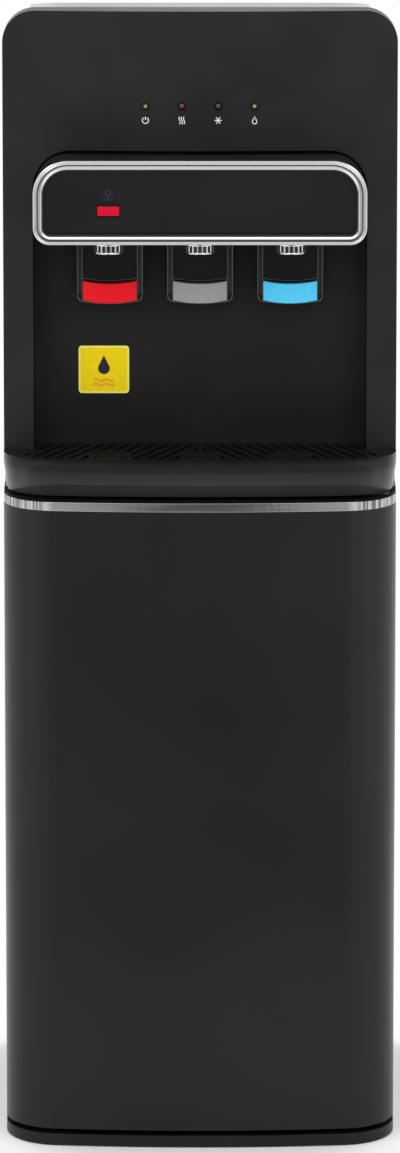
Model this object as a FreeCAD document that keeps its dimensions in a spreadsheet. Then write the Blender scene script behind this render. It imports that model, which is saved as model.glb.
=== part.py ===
import FreeCAD, Part
import math
import os
import Sketcher

# Bottom-loading water dispenser, free standing, in millimetres.
# +Z is up, the front faces -Y, and the origin is on the floor under the middle of the machine.

SIZES = [
    # overall
    ("body_width", "344", "width over the side panels, the door and the head"),
    ("body_depth", "360", "front of the door to the wall spacers at the back"),
    ("body_height", "1000", "floor to the top of the head"),
    ("corner_radius", "50", "plan radius of the two front corners of door, shelf and plinth"),
    ("bow_radius", "1200", "plan radius of the gently bowed front"),
    ("sheet_steel", "1.5", "wall of the folded steel panels"),
    ("flange_width", "12", "width of the folded edges of the side panels"),
    ("back_space", "28", "room behind the back panel for the condenser"),
    ("seam", "0.3", "gap between pieces that lie side by side"),
    # plinth and feet
    ("foot_thickness", "1.2", "rubber pads under the four corners"),
    ("foot_length", "47", "length of a foot pad along each side"),
    ("foot_inset", "1.5", "pad edge behind the plinth's edge"),
    ("plinth_height", "9.7", "moulded base"),
    ("plinth_wall", "3", "walls and ribs under the base"),
    ("plinth_skin", "3.2", "floor of the base above its ribs"),
    ("rib_columns", "5", "cells across under the base"),
    ("platform_height", "8", "raised bottle stand above the base"),
    ("platform_radius", "20", "corners of the bottle stand"),
    ("bottle_diameter", "272", "five gallon bottle"),
    ("bottle_ring_depth", "2", "round locating recess for the bottle"),
    ("bottle_gap", "2.5", "bottle in front of the back panel"),
    # door
    ("door_gap", "3.2", "gap over the door"),
    ("door_foot_gap", "4.6", "gap under the door"),
    ("door_depth", "60", "front of the door to its back"),
    ("door_skin_wall", "2.5", "door skin"),
    ("door_back_share", "0.8", "rounded back corners of the door, over the thickness of its rim"),
    ("liner_wall", "2.5", "liner moulding"),
    ("liner_rim", "40", "flat rim beside and over the recess of the liner"),
    ("liner_sill", "10", "flat rim under the recess of the liner"),
    ("liner_recess", "24", "depth of the recess that clears the bottle"),
    ("cap_thickness", "9", "moulded end caps inside the door skin"),
    ("trim_height", "7.6", "bright band along the top of the door"),
    ("trim_thickness", "1.2", "bright band"),
    ("frame_gap", "5", "door back to the front of the cabinet"),
    # door hinge
    ("hinge_inset", "14", "hinge axis inside the right side"),
    ("hinge_forward", "18", "hinge axis in front of the back of the door"),
    ("hinge_pin_diameter", "6", "hinge pins"),
    ("hinge_pin_length", "8", "pin inside its bush"),
    ("hinge_clearance", "0.06", "radial running clearance of a hinge pin"),
    ("bush_wall", "2", "hinge bush"),
    ("bush_flange", "2", "flange width of the lower bush"),
    ("hinge_plate_thickness", "2", "steel hinge plate"),
    ("hinge_plate_length", "34", "steel hinge plate"),
    ("hinge_plate_width", "14", "steel hinge plate"),
    # shelf under the taps
    ("shelf_height", "33.9", "moulding between the door and the alcove"),
    ("shelf_band", "8.9", "upright band along the top of the shelf"),
    ("shelf_front_taper", "14", "how far the underside steps back at the front"),
    ("shelf_side_taper", "2.6", "how far the underside steps in at the sides"),
    ("shelf_rim", "5", "rim round the drip tray"),
    ("tray_height", "10.7", "drip tray"),
    ("tray_wall", "1.5", "drip tray"),
    ("tray_clearance", "0.4", "drip tray inside its recess"),
    ("sump_height", "9", "deeper middle of the drip tray"),
    ("sump_inset", "46", "deeper middle of the drip tray inside the alcove's sides"),
    ("grille_thickness", "3", "drip grille"),
    ("slot_width", "5.2", "slot in the grille"),
    ("slot_pitch", "11.4", "distance between slanted slots along the front"),
    ("slot_slant", "22", "degrees between a slanted slot and the depth direction"),
    ("grille_rim", "4", "plain edge round the slots"),
    ("target_radius", "17", "round mark under each tap"),
    ("target_pitch", "9", "distance between the straight slots of a mark"),
    # head and alcove
    ("fascia_setback", "54", "front of the door to the front of the head"),
    ("fascia_depth", "42", "front of the head to the back wall of the alcove"),
    ("fascia_wall", "3", "moulded head"),
    ("fascia_radius", "28", "top corners of the head, seen from the front"),
    ("fascia_bow_radius", "1200", "plan radius of the head's front"),
    ("jamb_width", "26", "upright beside the alcove"),
    ("head_height", "121.8", "top of the alcove to the top of the head"),
    ("alcove_height", "264.1", "shelf to the top of the alcove"),
    ("alcove_radius", "34", "top corners of the alcove"),
    ("cover_inset", "10", "top cover inside the sides"),
    ("cover_radius", "43", "top corners of the cover, seen from the front"),
    ("cover_flat", "50", "level part of the cover behind the head"),
    ("cover_fall", "19", "drop of the cover towards the back"),
    ("cover_height", "45", "side of the cover above the side panels"),
    # tap housing
    ("pod_gap", "2", "tap housing beside the alcove's sides"),
    ("pod_height", "73.5", "tap housing and its bright ring"),
    ("pod_drop", "1.7", "top of the tap housing under the top of the alcove"),
    ("pod_top_radius", "30", "upper corners of the housing"),
    ("pod_bottom_radius", "15", "lower corners of the housing"),
    ("pod_wall", "3", "tap housing"),
    ("ring_depth", "9", "bright ring, front to back"),
    ("ring_width", "9", "bright ring, seen from the front"),
    ("ring_ledge", "3", "step inside the ring that carries the face panel"),
    ("ring_round", "3.2", "rounded outer edge of the ring"),
    ("ring_lip", "1.2", "bevelled inner edge of the ring"),
    ("face_thickness", "2.5", "face panel of the tap housing"),
    # taps
    ("tap_spacing", "79", "distance between taps"),
    ("nozzle_back", "22", "front of the machine to the nozzle axis"),
    ("nozzle_radius", "10.4", "nozzle neck"),
    ("nozzle_rim", "1.1", "rim of the nozzle outside its neck"),
    ("nozzle_rim_height", "3", "rim of the nozzle"),
    ("nozzle_drop", "9.5", "nozzle below the housing"),
    ("nozzle_bore", "12", "nozzle bore"),
    ("nozzle_gap", "0.4", "nozzle in its hole"),
    ("column_radius", "12", "upright part of a tap body"),
    ("column_height", "15", "upright part of a tap body"),
    ("valve_front", "24", "front of the machine to the valve block"),
    ("valve_length", "44", "valve block between the column and the lever"),
    ("tap_block_width", "39", "block between the lever ears"),
    ("tap_block_height", "24", "block between the lever ears"),
    ("tap_lift", "20", "underside of the block above the housing floor"),
    ("ear_thickness", "4", "ears that carry a lever pin"),
    ("ear_radius", "6", "rounded end of an ear"),
    ("shank_diameter", "14", "threaded pipe through the alcove wall"),
    ("shank_length", "18", "pipe behind the alcove wall"),
    ("shank_lift", "12", "pipe axis above the underside of the block"),
    # levers
    ("pivot_lift", "15", "lever pin above the underside of the housing"),
    ("pivot_forward", "16", "lever pin in front of the alcove wall"),
    ("lever_pin_diameter", "4", "lever pin"),
    ("lever_clearance", "0.06", "radial running clearance of a lever on its pin"),
    ("lever_width", "58", "lever"),
    ("lever_drop", "62.2", "lever below the housing"),
    ("lever_thickness", "9", "side flanges of a lever, front to back"),
    ("lever_flange", "5.5", "side flange of a lever, seen from the front"),
    ("lever_web_back", "3", "web behind the front of the flanges"),
    ("lever_web", "2.5", "web thickness"),
    ("lever_lip", "1", "lower edge of the lever under the coloured pad"),
    ("lever_front", "21", "front of the lever in front of the alcove wall"),
    ("lever_radius", "6", "lower corners of a lever"),
    ("lever_slot_gap", "1.8", "slot of the housing before and behind a lever"),
    ("brow_gap", "1.2", "ridge of a lever above its coloured pad"),
    ("brow_height", "1.6", "ridge of a lever above its coloured pad"),
    ("brow_depth", "2", "ridge in front of the web"),
    ("barrel_radius", "5", "lever barrel round its pin"),
    ("barrel_gap", "0.5", "lever barrel between the ears"),
    ("pad_width", "47", "coloured pad"),
    ("pad_height", "17.2", "coloured pad"),
    ("pad_sag", "2.2", "curve of the pad's upper and lower edges"),
    ("pad_bulge", "3", "curve of the pad towards the cup"),
    ("pad_edge", "0.5", "pad edge in front of the flanges"),
    # child lock and lamps
    ("lock_across", "79", "child lock button from the middle"),
    ("lock_width", "19.7", "child lock button"),
    ("lock_height", "9.9", "child lock button"),
    ("lock_lift", "29.5", "middle of the button above the underside of the housing"),
    ("lock_travel", "2.5", "stroke of the button"),
    ("lock_proud", "1", "button in front of the face panel"),
    ("lock_gap", "0.3", "button in its hole"),
    ("lock_lip", "1.5", "lip that keeps the button behind the panel"),
    ("lock_case_wall", "2.5", "lock switch case"),
    ("lock_case_depth", "13", "lock switch case"),
    ("lamp_spacing", "31.6", "distance between indicator lamps"),
    ("lamp_drop", "82.4", "indicator lamps under the top of the head"),
    ("lamp_diameter", "5", "indicator lens"),
    ("lamp_proud", "0.8", "lens in front of the head"),
    ("lamp_gap", "0.3", "lens in its hole"),
    ("lamp_board_back", "8", "lamp board behind the front of the head"),
    ("lamp_board_width", "136", "lamp board"),
    ("lamp_board_height", "26", "lamp board"),
    ("board_thickness", "1.6", "circuit board"),
    ("boss_diameter", "7", "posts that carry the lamp board"),
    ("boss_across", "62", "posts of the lamp board from the middle"),
    # inside
    ("side_top_gap", "45", "top of the side panels under the top of the head"),
    ("deck_lip", "26", "folded front lip of the middle deck"),
    ("tank_shelf_lift", "154.8", "shelf that carries the tanks, above the deck"),
    ("tank_shelf_gap", "30", "control box to the tank shelf"),
    ("cold_tank_radius", "72", "insulated cold tank"),
    ("cold_tank_height", "170", "insulated cold tank"),
    ("hot_tank_radius", "54", "hot tank"),
    ("hot_tank_height", "160", "hot tank"),
    ("tank_inset", "88", "tank axes inside the sides"),
    ("tank_gap", "12.5", "cold tank in front of the back panel"),
    ("tank_dome", "12", "bevelled top of the tanks"),
    ("compressor_radius", "56", "compressor shell"),
    ("compressor_height", "124", "compressor shell"),
    ("compressor_inset", "92", "compressor axis inside the right side"),
    ("compressor_gap", "26.5", "foot plate in front of the back panel"),
    ("compressor_plate", "2.5", "foot plate of the compressor"),
    ("compressor_plate_size", "124", "foot plate of the compressor"),
    ("mount_height", "11", "rubber mount of the compressor"),
    ("mount_width", "16", "rubber mount of the compressor"),
    ("pump_width", "62", "water pump head"),
    ("pump_length", "58", "water pump head"),
    ("pump_height", "46", "water pump head"),
    ("pump_motor_radius", "17", "motor of the water pump"),
    ("pump_motor_length", "60", "motor of the water pump"),
    ("pump_foot", "4", "rubber foot plate of the pump"),
    ("pump_back", "74", "pump head behind the alcove wall"),
    ("control_width", "150", "control box"),
    ("control_height", "90", "control box"),
    ("control_depth", "32", "control box"),
    # probe and hose
    ("probe_inset", "42", "stowed probe inside the right side"),
    ("probe_gap", "36.5", "stowed probe in front of the back panel"),
    ("probe_cap_radius", "29", "cap that closes the bottle neck"),
    ("probe_cap_height", "28", "cap that closes the bottle neck"),
    ("probe_tube_radius", "9", "suction tube of the probe"),
    ("probe_clearance", "51.1", "end of the stowed suction tube above the bottle stand"),
    ("probe_drop", "110.2", "underside of the stowed cap under the deck"),
    ("holder_thickness", "4", "probe holder"),
    ("holder_width", "46", "probe holder"),
    ("holder_reach", "16", "holder in front of the probe axis"),
    ("hose_diameter", "9", "suction hose"),
    ("spout_length", "10", "hose spout on the probe cap"),
    ("hose_inset", "15", "hose axis inside the right side"),
    ("hose_back", "16", "deck hole of the hose behind the alcove wall"),
    ("hose_rise", "49", "top of the suction hose above its spout"),
    # back
    ("louvre_width", "60", "air slot in the back panels"),
    ("louvre_height", "5", "air slot in the back panels"),
    ("louvre_pitch", "14", "air slot in the back panels"),
    ("louvre_count", "7", "air slots in a column"),
    ("louvre_drop", "330.2", "lowest air slot of the lower panel under the deck"),
    ("coil_tube", "4.8", "condenser tube"),
    ("coil_pitch", "54", "distance between condenser passes"),
    ("coil_passes", "9", "condenser passes"),
    ("coil_inset", "52", "straight part of a condenser pass inside the sides"),
    ("coil_back", "16", "condenser axis behind the back panel"),
    ("coil_drop", "208.2", "lowest condenser pass under the deck"),
    ("coil_inlet_bend", "14", "bend where the condenser enters the back panel"),
    ("wire_size", "1.6", "condenser wire"),
    ("wire_pitch", "12.5", "distance between condenser wires"),
    ("clip_width", "12", "condenser clip"),
    ("clip_height", "10", "condenser clip"),
    ("clip_slack", "1", "room beside the tube in a clip, for the curve of its bend"),
    ("spacer_width", "22", "wall spacer"),
    ("spacer_height", "26", "wall spacer"),
    ("spacer_inset", "32", "wall spacer inside the side"),
    ("spacer_drop", "55", "wall spacer under the top of the side panels"),
    ("switch_width", "60", "frame of the two rocker switches"),
    ("switch_height", "30", "frame of the two rocker switches"),
    ("switch_drop", "30", "rocker switches under the top of the side panels"),
    ("switch_inset", "102", "rocker switches inside the right side"),
    ("switch_frame_depth", "10", "switch frame through the back panel"),
    ("switch_lip", "2", "switch frame outside the back panel"),
    ("rocker_width", "18", "rocker"),
    ("rocker_height", "22", "rocker"),
    ("rocker_thickness", "7", "rocker"),
    ("rocker_spacing", "26", "distance between the rockers"),
    ("rocker_angle", "7", "tilt of a rocker to each side, in degrees"),
    ("rocker_gap", "0.5", "rocker in its frame"),
    ("rocker_pin_diameter", "3", "pivot pins of a rocker"),
    ("rocker_pin_length", "1.5", "pivot pin beside a rocker"),
    ("rocker_clearance", "0.06", "radial running clearance of a rocker pin"),
    ("inlet_inset", "62", "power lead gland inside the right side"),
    ("inlet_lift", "90", "power lead gland above the floor"),
    ("inlet_radius", "11", "power lead gland"),
    ("inlet_bore", "8", "power lead gland"),
    ("drain_inset", "62", "drain outlet inside the left side"),
    ("drain_lift", "200", "drain outlet above the floor"),
    ("drain_radius", "13", "drain cap"),
    ("drain_length", "20", "drain cap behind the back panel"),
    ("magnet_width", "40", "door magnet"),
    ("magnet_height", "12", "door magnet"),
    ("magnet_inset", "52", "door magnet inside the left side"),
    ("strike_thickness", "1", "steel plate on the door"),
]

PLANES = {"XY": ("XY_Plane", 1), "XZ": ("XZ_Plane", -1), "YZ": ("YZ_Plane", 1)}
LEFT_TURN = 1
RIGHT_TURN = -1
TAPS = {"hot": -1, "normal": 0, "cold": 1}

doc = FreeCAD.newDocument("water_dispenser")
sheet = doc.addObject("Spreadsheet::Sheet", "sizes")
for row, (alias, number, meaning) in enumerate(SIZES, start=1):
    sheet.set(f"A{row}", meaning)
    sheet.set(f"B{row}", number)
    sheet.setAlias(f"B{row}", alias)
doc.recompute()


class Size:
    """A size from the sheet, or one worked out from such sizes: its number and its formula."""

    def __init__(self, number, formula):
        self.number = float(number)
        self.formula = formula

    def __add__(self, other):
        other = as_size(other)
        return Size(self.number + other.number, f"({self.formula} + {other.formula})")

    def __sub__(self, other):
        other = as_size(other)
        return Size(self.number - other.number, f"({self.formula} - {other.formula})")

    def __mul__(self, other):
        other = as_size(other)
        return Size(self.number * other.number, f"({self.formula} * {other.formula})")

    def __truediv__(self, other):
        other = as_size(other)
        return Size(self.number / other.number, f"({self.formula} / {other.formula})")

    def __neg__(self):
        return Size(-self.number, f"(0 - {self.formula})")


def as_size(thing):
    """A plain number counts as a size with itself as its formula."""
    if isinstance(thing, Size):
        return thing
    return Size(thing, f"{float(thing):.6f}")


def size(alias):
    """The size that the sheet holds under this alias."""
    return Size(getattr(sheet, alias), f"sizes.{alias}")


def root(square):
    return Size(math.sqrt(square.number), f"sqrt({square.formula})")


# Places that several pieces share
HALF = size("body_width") / 2
FRONT = -size("body_depth") / 2
REAR = size("body_depth") / 2
SHEET = size("sheet_steel")
SEAM = size("seam")
PANEL_BACK = REAR - size("back_space")
PANEL_FRONT = PANEL_BACK - SHEET
SIDE_INNER = HALF - SHEET
PLINTH_BOTTOM = size("foot_thickness")
PLINTH_TOP = PLINTH_BOTTOM + size("plinth_height")
PLATFORM_TOP = PLINTH_TOP + size("platform_height")
DOOR_BOTTOM = PLINTH_TOP + size("door_foot_gap")
HEAD_TOP = size("body_height")
ALCOVE_TOP = HEAD_TOP - size("head_height")
SHELF_TOP = ALCOVE_TOP - size("alcove_height")
SHELF_BOTTOM = SHELF_TOP - size("shelf_height")
DOOR_TOP = SHELF_BOTTOM - size("door_gap")
TRIM_BOTTOM = DOOR_TOP - size("trim_height")
DOOR_BACK = FRONT + size("door_depth")
FRAME_FRONT = DOOR_BACK + size("frame_gap")
FASCIA_FRONT = FRONT + size("fascia_setback")
ALCOVE_BACK = FASCIA_FRONT + size("fascia_depth")
ALCOVE_HALF = HALF - size("jamb_width")
LAMP_Z = HEAD_TOP - size("lamp_drop")
SIDE_TOP = HEAD_TOP - size("side_top_gap")
SWITCH_X = HALF - size("switch_inset")
SWITCH_Z = SIDE_TOP - size("switch_drop")
POD_HALF = ALCOVE_HALF - size("pod_gap")
POD_TOP = ALCOVE_TOP - size("pod_drop")
POD_BOTTOM = POD_TOP - size("pod_height")
RING_BACK = FRONT + size("ring_depth")
FACE_BACK = RING_BACK - size("ring_ledge")
FACE_FRONT = FACE_BACK - size("face_thickness")
PIVOT_Y = ALCOVE_BACK - size("pivot_forward")
PIVOT_Z = POD_BOTTOM + size("pivot_lift")
NOZZLE_Y = FRONT + size("nozzle_back")
DECK_TOP = SHELF_BOTTOM
HINGE_X = HALF - size("hinge_inset")
HINGE_Y = DOOR_BACK - size("hinge_forward")
HOSE_X = HALF - size("hose_inset")
HOSE_Y = ALCOVE_BACK + size("hose_back")
BOTTLE_Y = PANEL_FRONT - size("bottle_gap") - size("bottle_diameter") / 2
PROBE_X = HALF - size("probe_inset")
PROBE_Y = PANEL_FRONT - size("probe_gap")
PROBE_Z = DECK_TOP - size("probe_drop")
TANK_SHELF_TOP = DECK_TOP + size("tank_shelf_lift")
COIL_Y = PANEL_BACK + size("coil_back")
COIL_LOW = DECK_TOP - size("coil_drop")
COIL_HALF = HALF - size("coil_inset")
INLET_X = HALF - size("inlet_inset")
TUBE_SIDES = 8
RUN_SHARE = 0.45


class Bow:
    """A bowed front with two round corners: where its straight, corner and bowed lines meet."""

    def __init__(self, half, front, corner, bow):
        across = half - corner
        rise = root((bow - corner) * (bow - corner) - across * across)
        share = bow / (bow - corner)
        self.half = half
        self.front = front
        self.corner = corner
        self.bow = bow
        self.side_y = front + bow - rise
        self.bow_x = across * share
        self.bow_y = front + bow - rise * share

    def inside(self, inset):
        return Bow(self.half - inset, self.front + inset, self.corner - inset, self.bow - inset)


OUTER = Bow(HALF, FRONT, size("corner_radius"), size("bow_radius"))


def bowed_loop(bow, back):
    """The closed plan outline of a piece with a bowed front and a straight back."""
    return [
        (-bow.half, back, None),
        (-bow.half, bow.side_y, (bow.corner, LEFT_TURN)),
        (-bow.bow_x, bow.bow_y, (bow.bow, LEFT_TURN)),
        (bow.bow_x, bow.bow_y, (bow.corner, LEFT_TURN)),
        (bow.half, bow.side_y, None),
        (bow.half, back, None),
    ]


def bowed_strip(outer, inner):
    """The plan outline of a wall that follows the bowed front and ends where the corners end."""
    return [
        (-outer.half, outer.side_y, (outer.corner, LEFT_TURN)),
        (-outer.bow_x, outer.bow_y, (outer.bow, LEFT_TURN)),
        (outer.bow_x, outer.bow_y, (outer.corner, LEFT_TURN)),
        (outer.half, outer.side_y, None),
        (inner.half, inner.side_y, (inner.corner, RIGHT_TURN)),
        (inner.bow_x, inner.bow_y, (inner.bow, RIGHT_TURN)),
        (-inner.bow_x, inner.bow_y, (inner.corner, RIGHT_TURN)),
        (-inner.half, inner.side_y, None),
    ]


def box_loop(left, right, low, high):
    return [(left, low, None), (right, low, None), (right, high, None), (left, high, None)]


def round_box_loop(left, right, low, high, low_radius, high_radius):
    """A rectangle with one radius for its lower corners and one for its upper corners."""
    return [
        (left + low_radius, low, None),
        (right - low_radius, low, (low_radius, LEFT_TURN)),
        (right, low + low_radius, None),
        (right, high - high_radius, (high_radius, LEFT_TURN)),
        (right - high_radius, high, None),
        (left + high_radius, high, (high_radius, LEFT_TURN)),
        (left, high - high_radius, None),
        (left, low + low_radius, (low_radius, LEFT_TURN)),
    ]


def arch_loop(left, right, low, high, radius):
    """A rectangle whose two upper corners are round."""
    return [
        (left, low, None),
        (right, low, None),
        (right, high - radius, (radius, LEFT_TURN)),
        (right - radius, high, None),
        (left + radius, high, (radius, LEFT_TURN)),
        (left, high - radius, None),
    ]


def cup_loop(left, right, low, high, radius):
    """A rectangle whose two lower corners are round."""
    return [
        (left + radius, low, None),
        (right - radius, low, (radius, LEFT_TURN)),
        (right, low + radius, None),
        (right, high, None),
        (left, high, None),
        (left, low + radius, (radius, LEFT_TURN)),
    ]


def lines_loop(points):
    return [(x, y, None) for x, y in points]


def circle_loop(x, y, radius):
    return ("circle", as_size(x), as_size(y), as_size(radius))


def origin_plane(body, role):
    return [plane for plane in body.Origin.OriginFeatures if plane.Role == role][0]


def arc_between(start, end, radius, turn):
    """The short arc from start to end that turns left or right."""
    chord = end - start
    reach = max(radius * radius - chord.Length * chord.Length / 4, 0.0)
    side = FreeCAD.Vector(-chord.y, chord.x, 0).normalize() * turn
    centre = (start + end) / 2 + side * math.sqrt(reach)
    circle = Part.Circle(centre, FreeCAD.Vector(0, 0, 1), radius)
    angles = [math.atan2(p.y - centre.y, p.x - centre.x) for p in (start, end)]
    if turn == RIGHT_TURN:
        angles.reverse()
    return Part.ArcOfCircle(circle, angles[0], angles[1])


def held(kind, *where):
    """A constraint whose last value is a size, with the formula that drives it."""
    return (Sketcher.Constraint(kind, *where[:-1], where[-1].number), where[-1].formula)


def draw_circle(flat, loop):
    centre = FreeCAD.Vector(loop[1].number, loop[2].number, 0)
    edge = flat.addGeometry(Part.Circle(centre, FreeCAD.Vector(0, 0, 1), loop[3].number))
    return [
        held("DistanceX", -1, 1, edge, 3, loop[1]),
        held("DistanceY", -1, 1, edge, 3, loop[2]),
        held("Radius", edge, loop[3]),
    ]


def draw_outline(flat, corners):
    corners = [(as_size(x), as_size(y), bend) for x, y, bend in corners]
    count = len(corners)
    points = [FreeCAD.Vector(x.number, y.number, 0) for x, y, bend in corners]
    first = flat.GeometryCount
    ends = []
    for index, (x, y, bend) in enumerate(corners):
        start = points[index]
        end = points[(index + 1) % count]
        if bend is None:
            flat.addGeometry(Part.LineSegment(start, end))
            ends.append((1, 2))
            continue
        flat.addGeometry(arc_between(start, end, as_size(bend[0]).number, bend[1]))
        ends.append((1, 2) if bend[1] == LEFT_TURN else (2, 1))
    rules = []
    for index, (x, y, bend) in enumerate(corners):
        edge = first + index
        after = (index + 1) % count
        joint = Sketcher.Constraint("Coincident", edge, ends[index][1], first + after, ends[after][0])
        rules.append((joint, None))
        rules.append(held("DistanceX", -1, 1, edge, ends[index][0], x))
        rules.append(held("DistanceY", -1, 1, edge, ends[index][0], y))
        if bend is not None:
            rules.append(held("Radius", edge, as_size(bend[0])))
    return rules


def sketch(body, name, plane, at, loops):
    """A sketch on one of the body's own planes, moved along to the place `at`."""
    role, sign = PLANES[plane]
    flat = body.newObject("Sketcher::SketchObject", name)
    flat.AttachmentSupport = [(origin_plane(body, role), "")]
    flat.MapMode = "FlatFace"
    flat.setExpression("AttachmentOffset.Base.z", f"{sign} * {as_size(at).formula}")
    for loop in loops:
        rules = draw_circle(flat, loop) if loop[0] == "circle" else draw_outline(flat, loop)
        base = flat.ConstraintCount
        flat.addConstraint([rule for rule, formula in rules])
        for place, (rule, formula) in enumerate(rules):
            if formula is not None and "sizes." in formula:
                flat.setExpression(f"Constraints[{base + place}]", formula)
    return flat


def new_body(name):
    body = doc.addObject("PartDesign::Body", name)
    body.Label = name
    return body


def pad(body, name, plane, at, reach, loops):
    """Material from the plane at `at` to the plane at `reach`."""
    at = as_size(at)
    reach = as_size(reach)
    flat = sketch(body, name + "_sketch", plane, at, loops)
    feature = body.newObject("PartDesign::Pad", name)
    feature.Profile = flat
    forward = reach.number > at.number
    feature.Reversed = forward != (PLANES[plane][1] > 0)
    feature.setExpression("Length", (reach - at if forward else at - reach).formula)
    return feature


def pocket(body, name, plane, at, reach, loops):
    """A cut from the plane at `at` to the plane at `reach`."""
    at = as_size(at)
    reach = as_size(reach)
    flat = sketch(body, name + "_sketch", plane, at, loops)
    feature = body.newObject("PartDesign::Pocket", name)
    feature.Profile = flat
    forward = reach.number > at.number
    feature.Reversed = forward == (PLANES[plane][1] > 0)
    feature.setExpression("Length", (reach - at if forward else at - reach).formula)
    return feature


def spin(body, name, corners, cut=False):
    """A revolved piece about the body's own Z axis, from a profile in the XZ plane."""
    flat = sketch(body, name + "_sketch", "XZ", 0, [lines_loop(corners)])
    kind = "PartDesign::Groove" if cut else "PartDesign::Revolution"
    feature = body.newObject(kind, name)
    feature.Profile = flat
    feature.ReferenceAxis = (flat, ["V_Axis"])
    feature.Angle = 360
    return feature


def row_of(body, name, feature, axis, pitch, count):
    """Copies of a feature in a straight row."""
    pattern = body.newObject("PartDesign::LinearPattern", name)
    pattern.Originals = [feature]
    pattern.Direction = (feature.Profile[0], [axis])
    pattern.Mode = "Spacing"
    pattern.setExpression("Offset", as_size(pitch).formula)
    pattern.setExpression("Occurrences", as_size(count).formula)
    body.Tip = pattern
    return pattern


def round_edges(body, name, radius, choose):
    """A fillet on the edges of the body so far that `choose` picks."""
    doc.recompute()
    base = body.Tip
    names = [f"Edge{n}" for n, edge in enumerate(base.Shape.Edges, start=1) if choose(edge)]
    feature = body.newObject("PartDesign::Fillet", name)
    feature.Base = (base, names)
    feature.setExpression("Radius", as_size(radius).formula)
    return feature


def bevel_edges(body, name, reach, choose):
    """A chamfer on the edges of the body so far that `choose` picks."""
    doc.recompute()
    base = body.Tip
    names = [f"Edge{n}" for n, edge in enumerate(base.Shape.Edges, start=1) if choose(edge)]
    feature = body.newObject("PartDesign::Chamfer", name)
    feature.Base = (base, names)
    feature.setExpression("Size", as_size(reach).formula)
    return feature


def move_to(thing, x=None, y=None, z=None):
    for axis, place in (("x", x), ("y", y), ("z", z)):
        if place is not None:
            thing.setExpression(f"Placement.Base.{axis}", as_size(place).formula)


def close_to(value, wanted):
    return abs(value - as_size(wanted).number) < 0.01


def upright_at(x, y):
    """Picks straight edges parallel to Z at this place."""
    def choose(edge):
        low, high = edge.BoundBox.ZMin, edge.BoundBox.ZMax
        thin = edge.BoundBox.XLength < 0.01 and edge.BoundBox.YLength < 0.01
        place = close_to(edge.BoundBox.XMin, x) and close_to(edge.BoundBox.YMin, y)
        return high - low > 1 and thin and place
    return choose


def solid_feature(name, shape):
    """A piece whose shape is worked out here from the sheet's numbers."""
    thing = doc.addObject("Part::Feature", name)
    thing.Shape = shape
    thing.Label = name
    return thing


def vector(x, y, z):
    return FreeCAD.Vector(as_size(x).number, as_size(y).number, as_size(z).number)


def tube_ring(start, along, radius):
    """A ring of a few flat sides, of the same area as the round tube, across a path that leaves X level."""
    step = 2 * math.pi / TUBE_SIDES
    reach = radius * math.sqrt(step / math.sin(step))
    across = FreeCAD.Vector(1, 0, 0)
    up = along.cross(across)
    corners = []
    for number in range(TUBE_SIDES + 1):
        angle = (number + 0.5) * step
        corners.append(start + across * reach * math.cos(angle) + up * reach * math.sin(angle))
    return Part.makePolygon(corners)


def sweep_tube(name, path, start, along, radius):
    """A tube along the path; its volume over section times length shows that no stretch is lost."""
    shell = Part.BRepOffsetAPI.MakePipeShell(path)
    shell.add(tube_ring(start, along, radius))
    shell.build()
    shell.makeSolid()
    tube = shell.shape()
    share = tube.Volume / (math.pi * radius * radius * path.Length)
    print(f"{name}: length {path.Length:.0f} mm, volume over section times length {share:.4f}")
    return tube


def tube_along(name, points, radius):
    """A tube along straight runs joined by tangent arcs."""
    runs = [(b - a).Length for a, b in zip(points, points[1:])]
    edges = []
    start = points[0]
    radii = []
    for index in range(1, len(points) - 1):
        back = (points[index - 1] - points[index]).normalize()
        ahead = (points[index + 1] - points[index]).normalize()
        turn = math.pi - back.getAngle(ahead)
        bend = RUN_SHARE * min(runs[index - 1], runs[index]) / math.tan(turn / 2)
        trim = bend * math.tan(turn / 2)
        radii.append(round(bend, 1))
        arc_start = points[index] + back * trim
        arc_end = points[index] + ahead * trim
        inward = (back + ahead).normalize()
        middle = points[index] + inward * (bend / math.cos(turn / 2) - bend)
        edges.append(Part.LineSegment(start, arc_start).toShape())
        edges.append(Part.Arc(arc_start, middle, arc_end).toShape())
        start = arc_end
    edges.append(Part.LineSegment(start, points[-1]).toShape())
    print(f"{name}: radii of the bends {radii}")
    return sweep_tube(name, Part.Wire(edges), points[0], (points[1] - points[0]).normalize(), radius)


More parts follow.
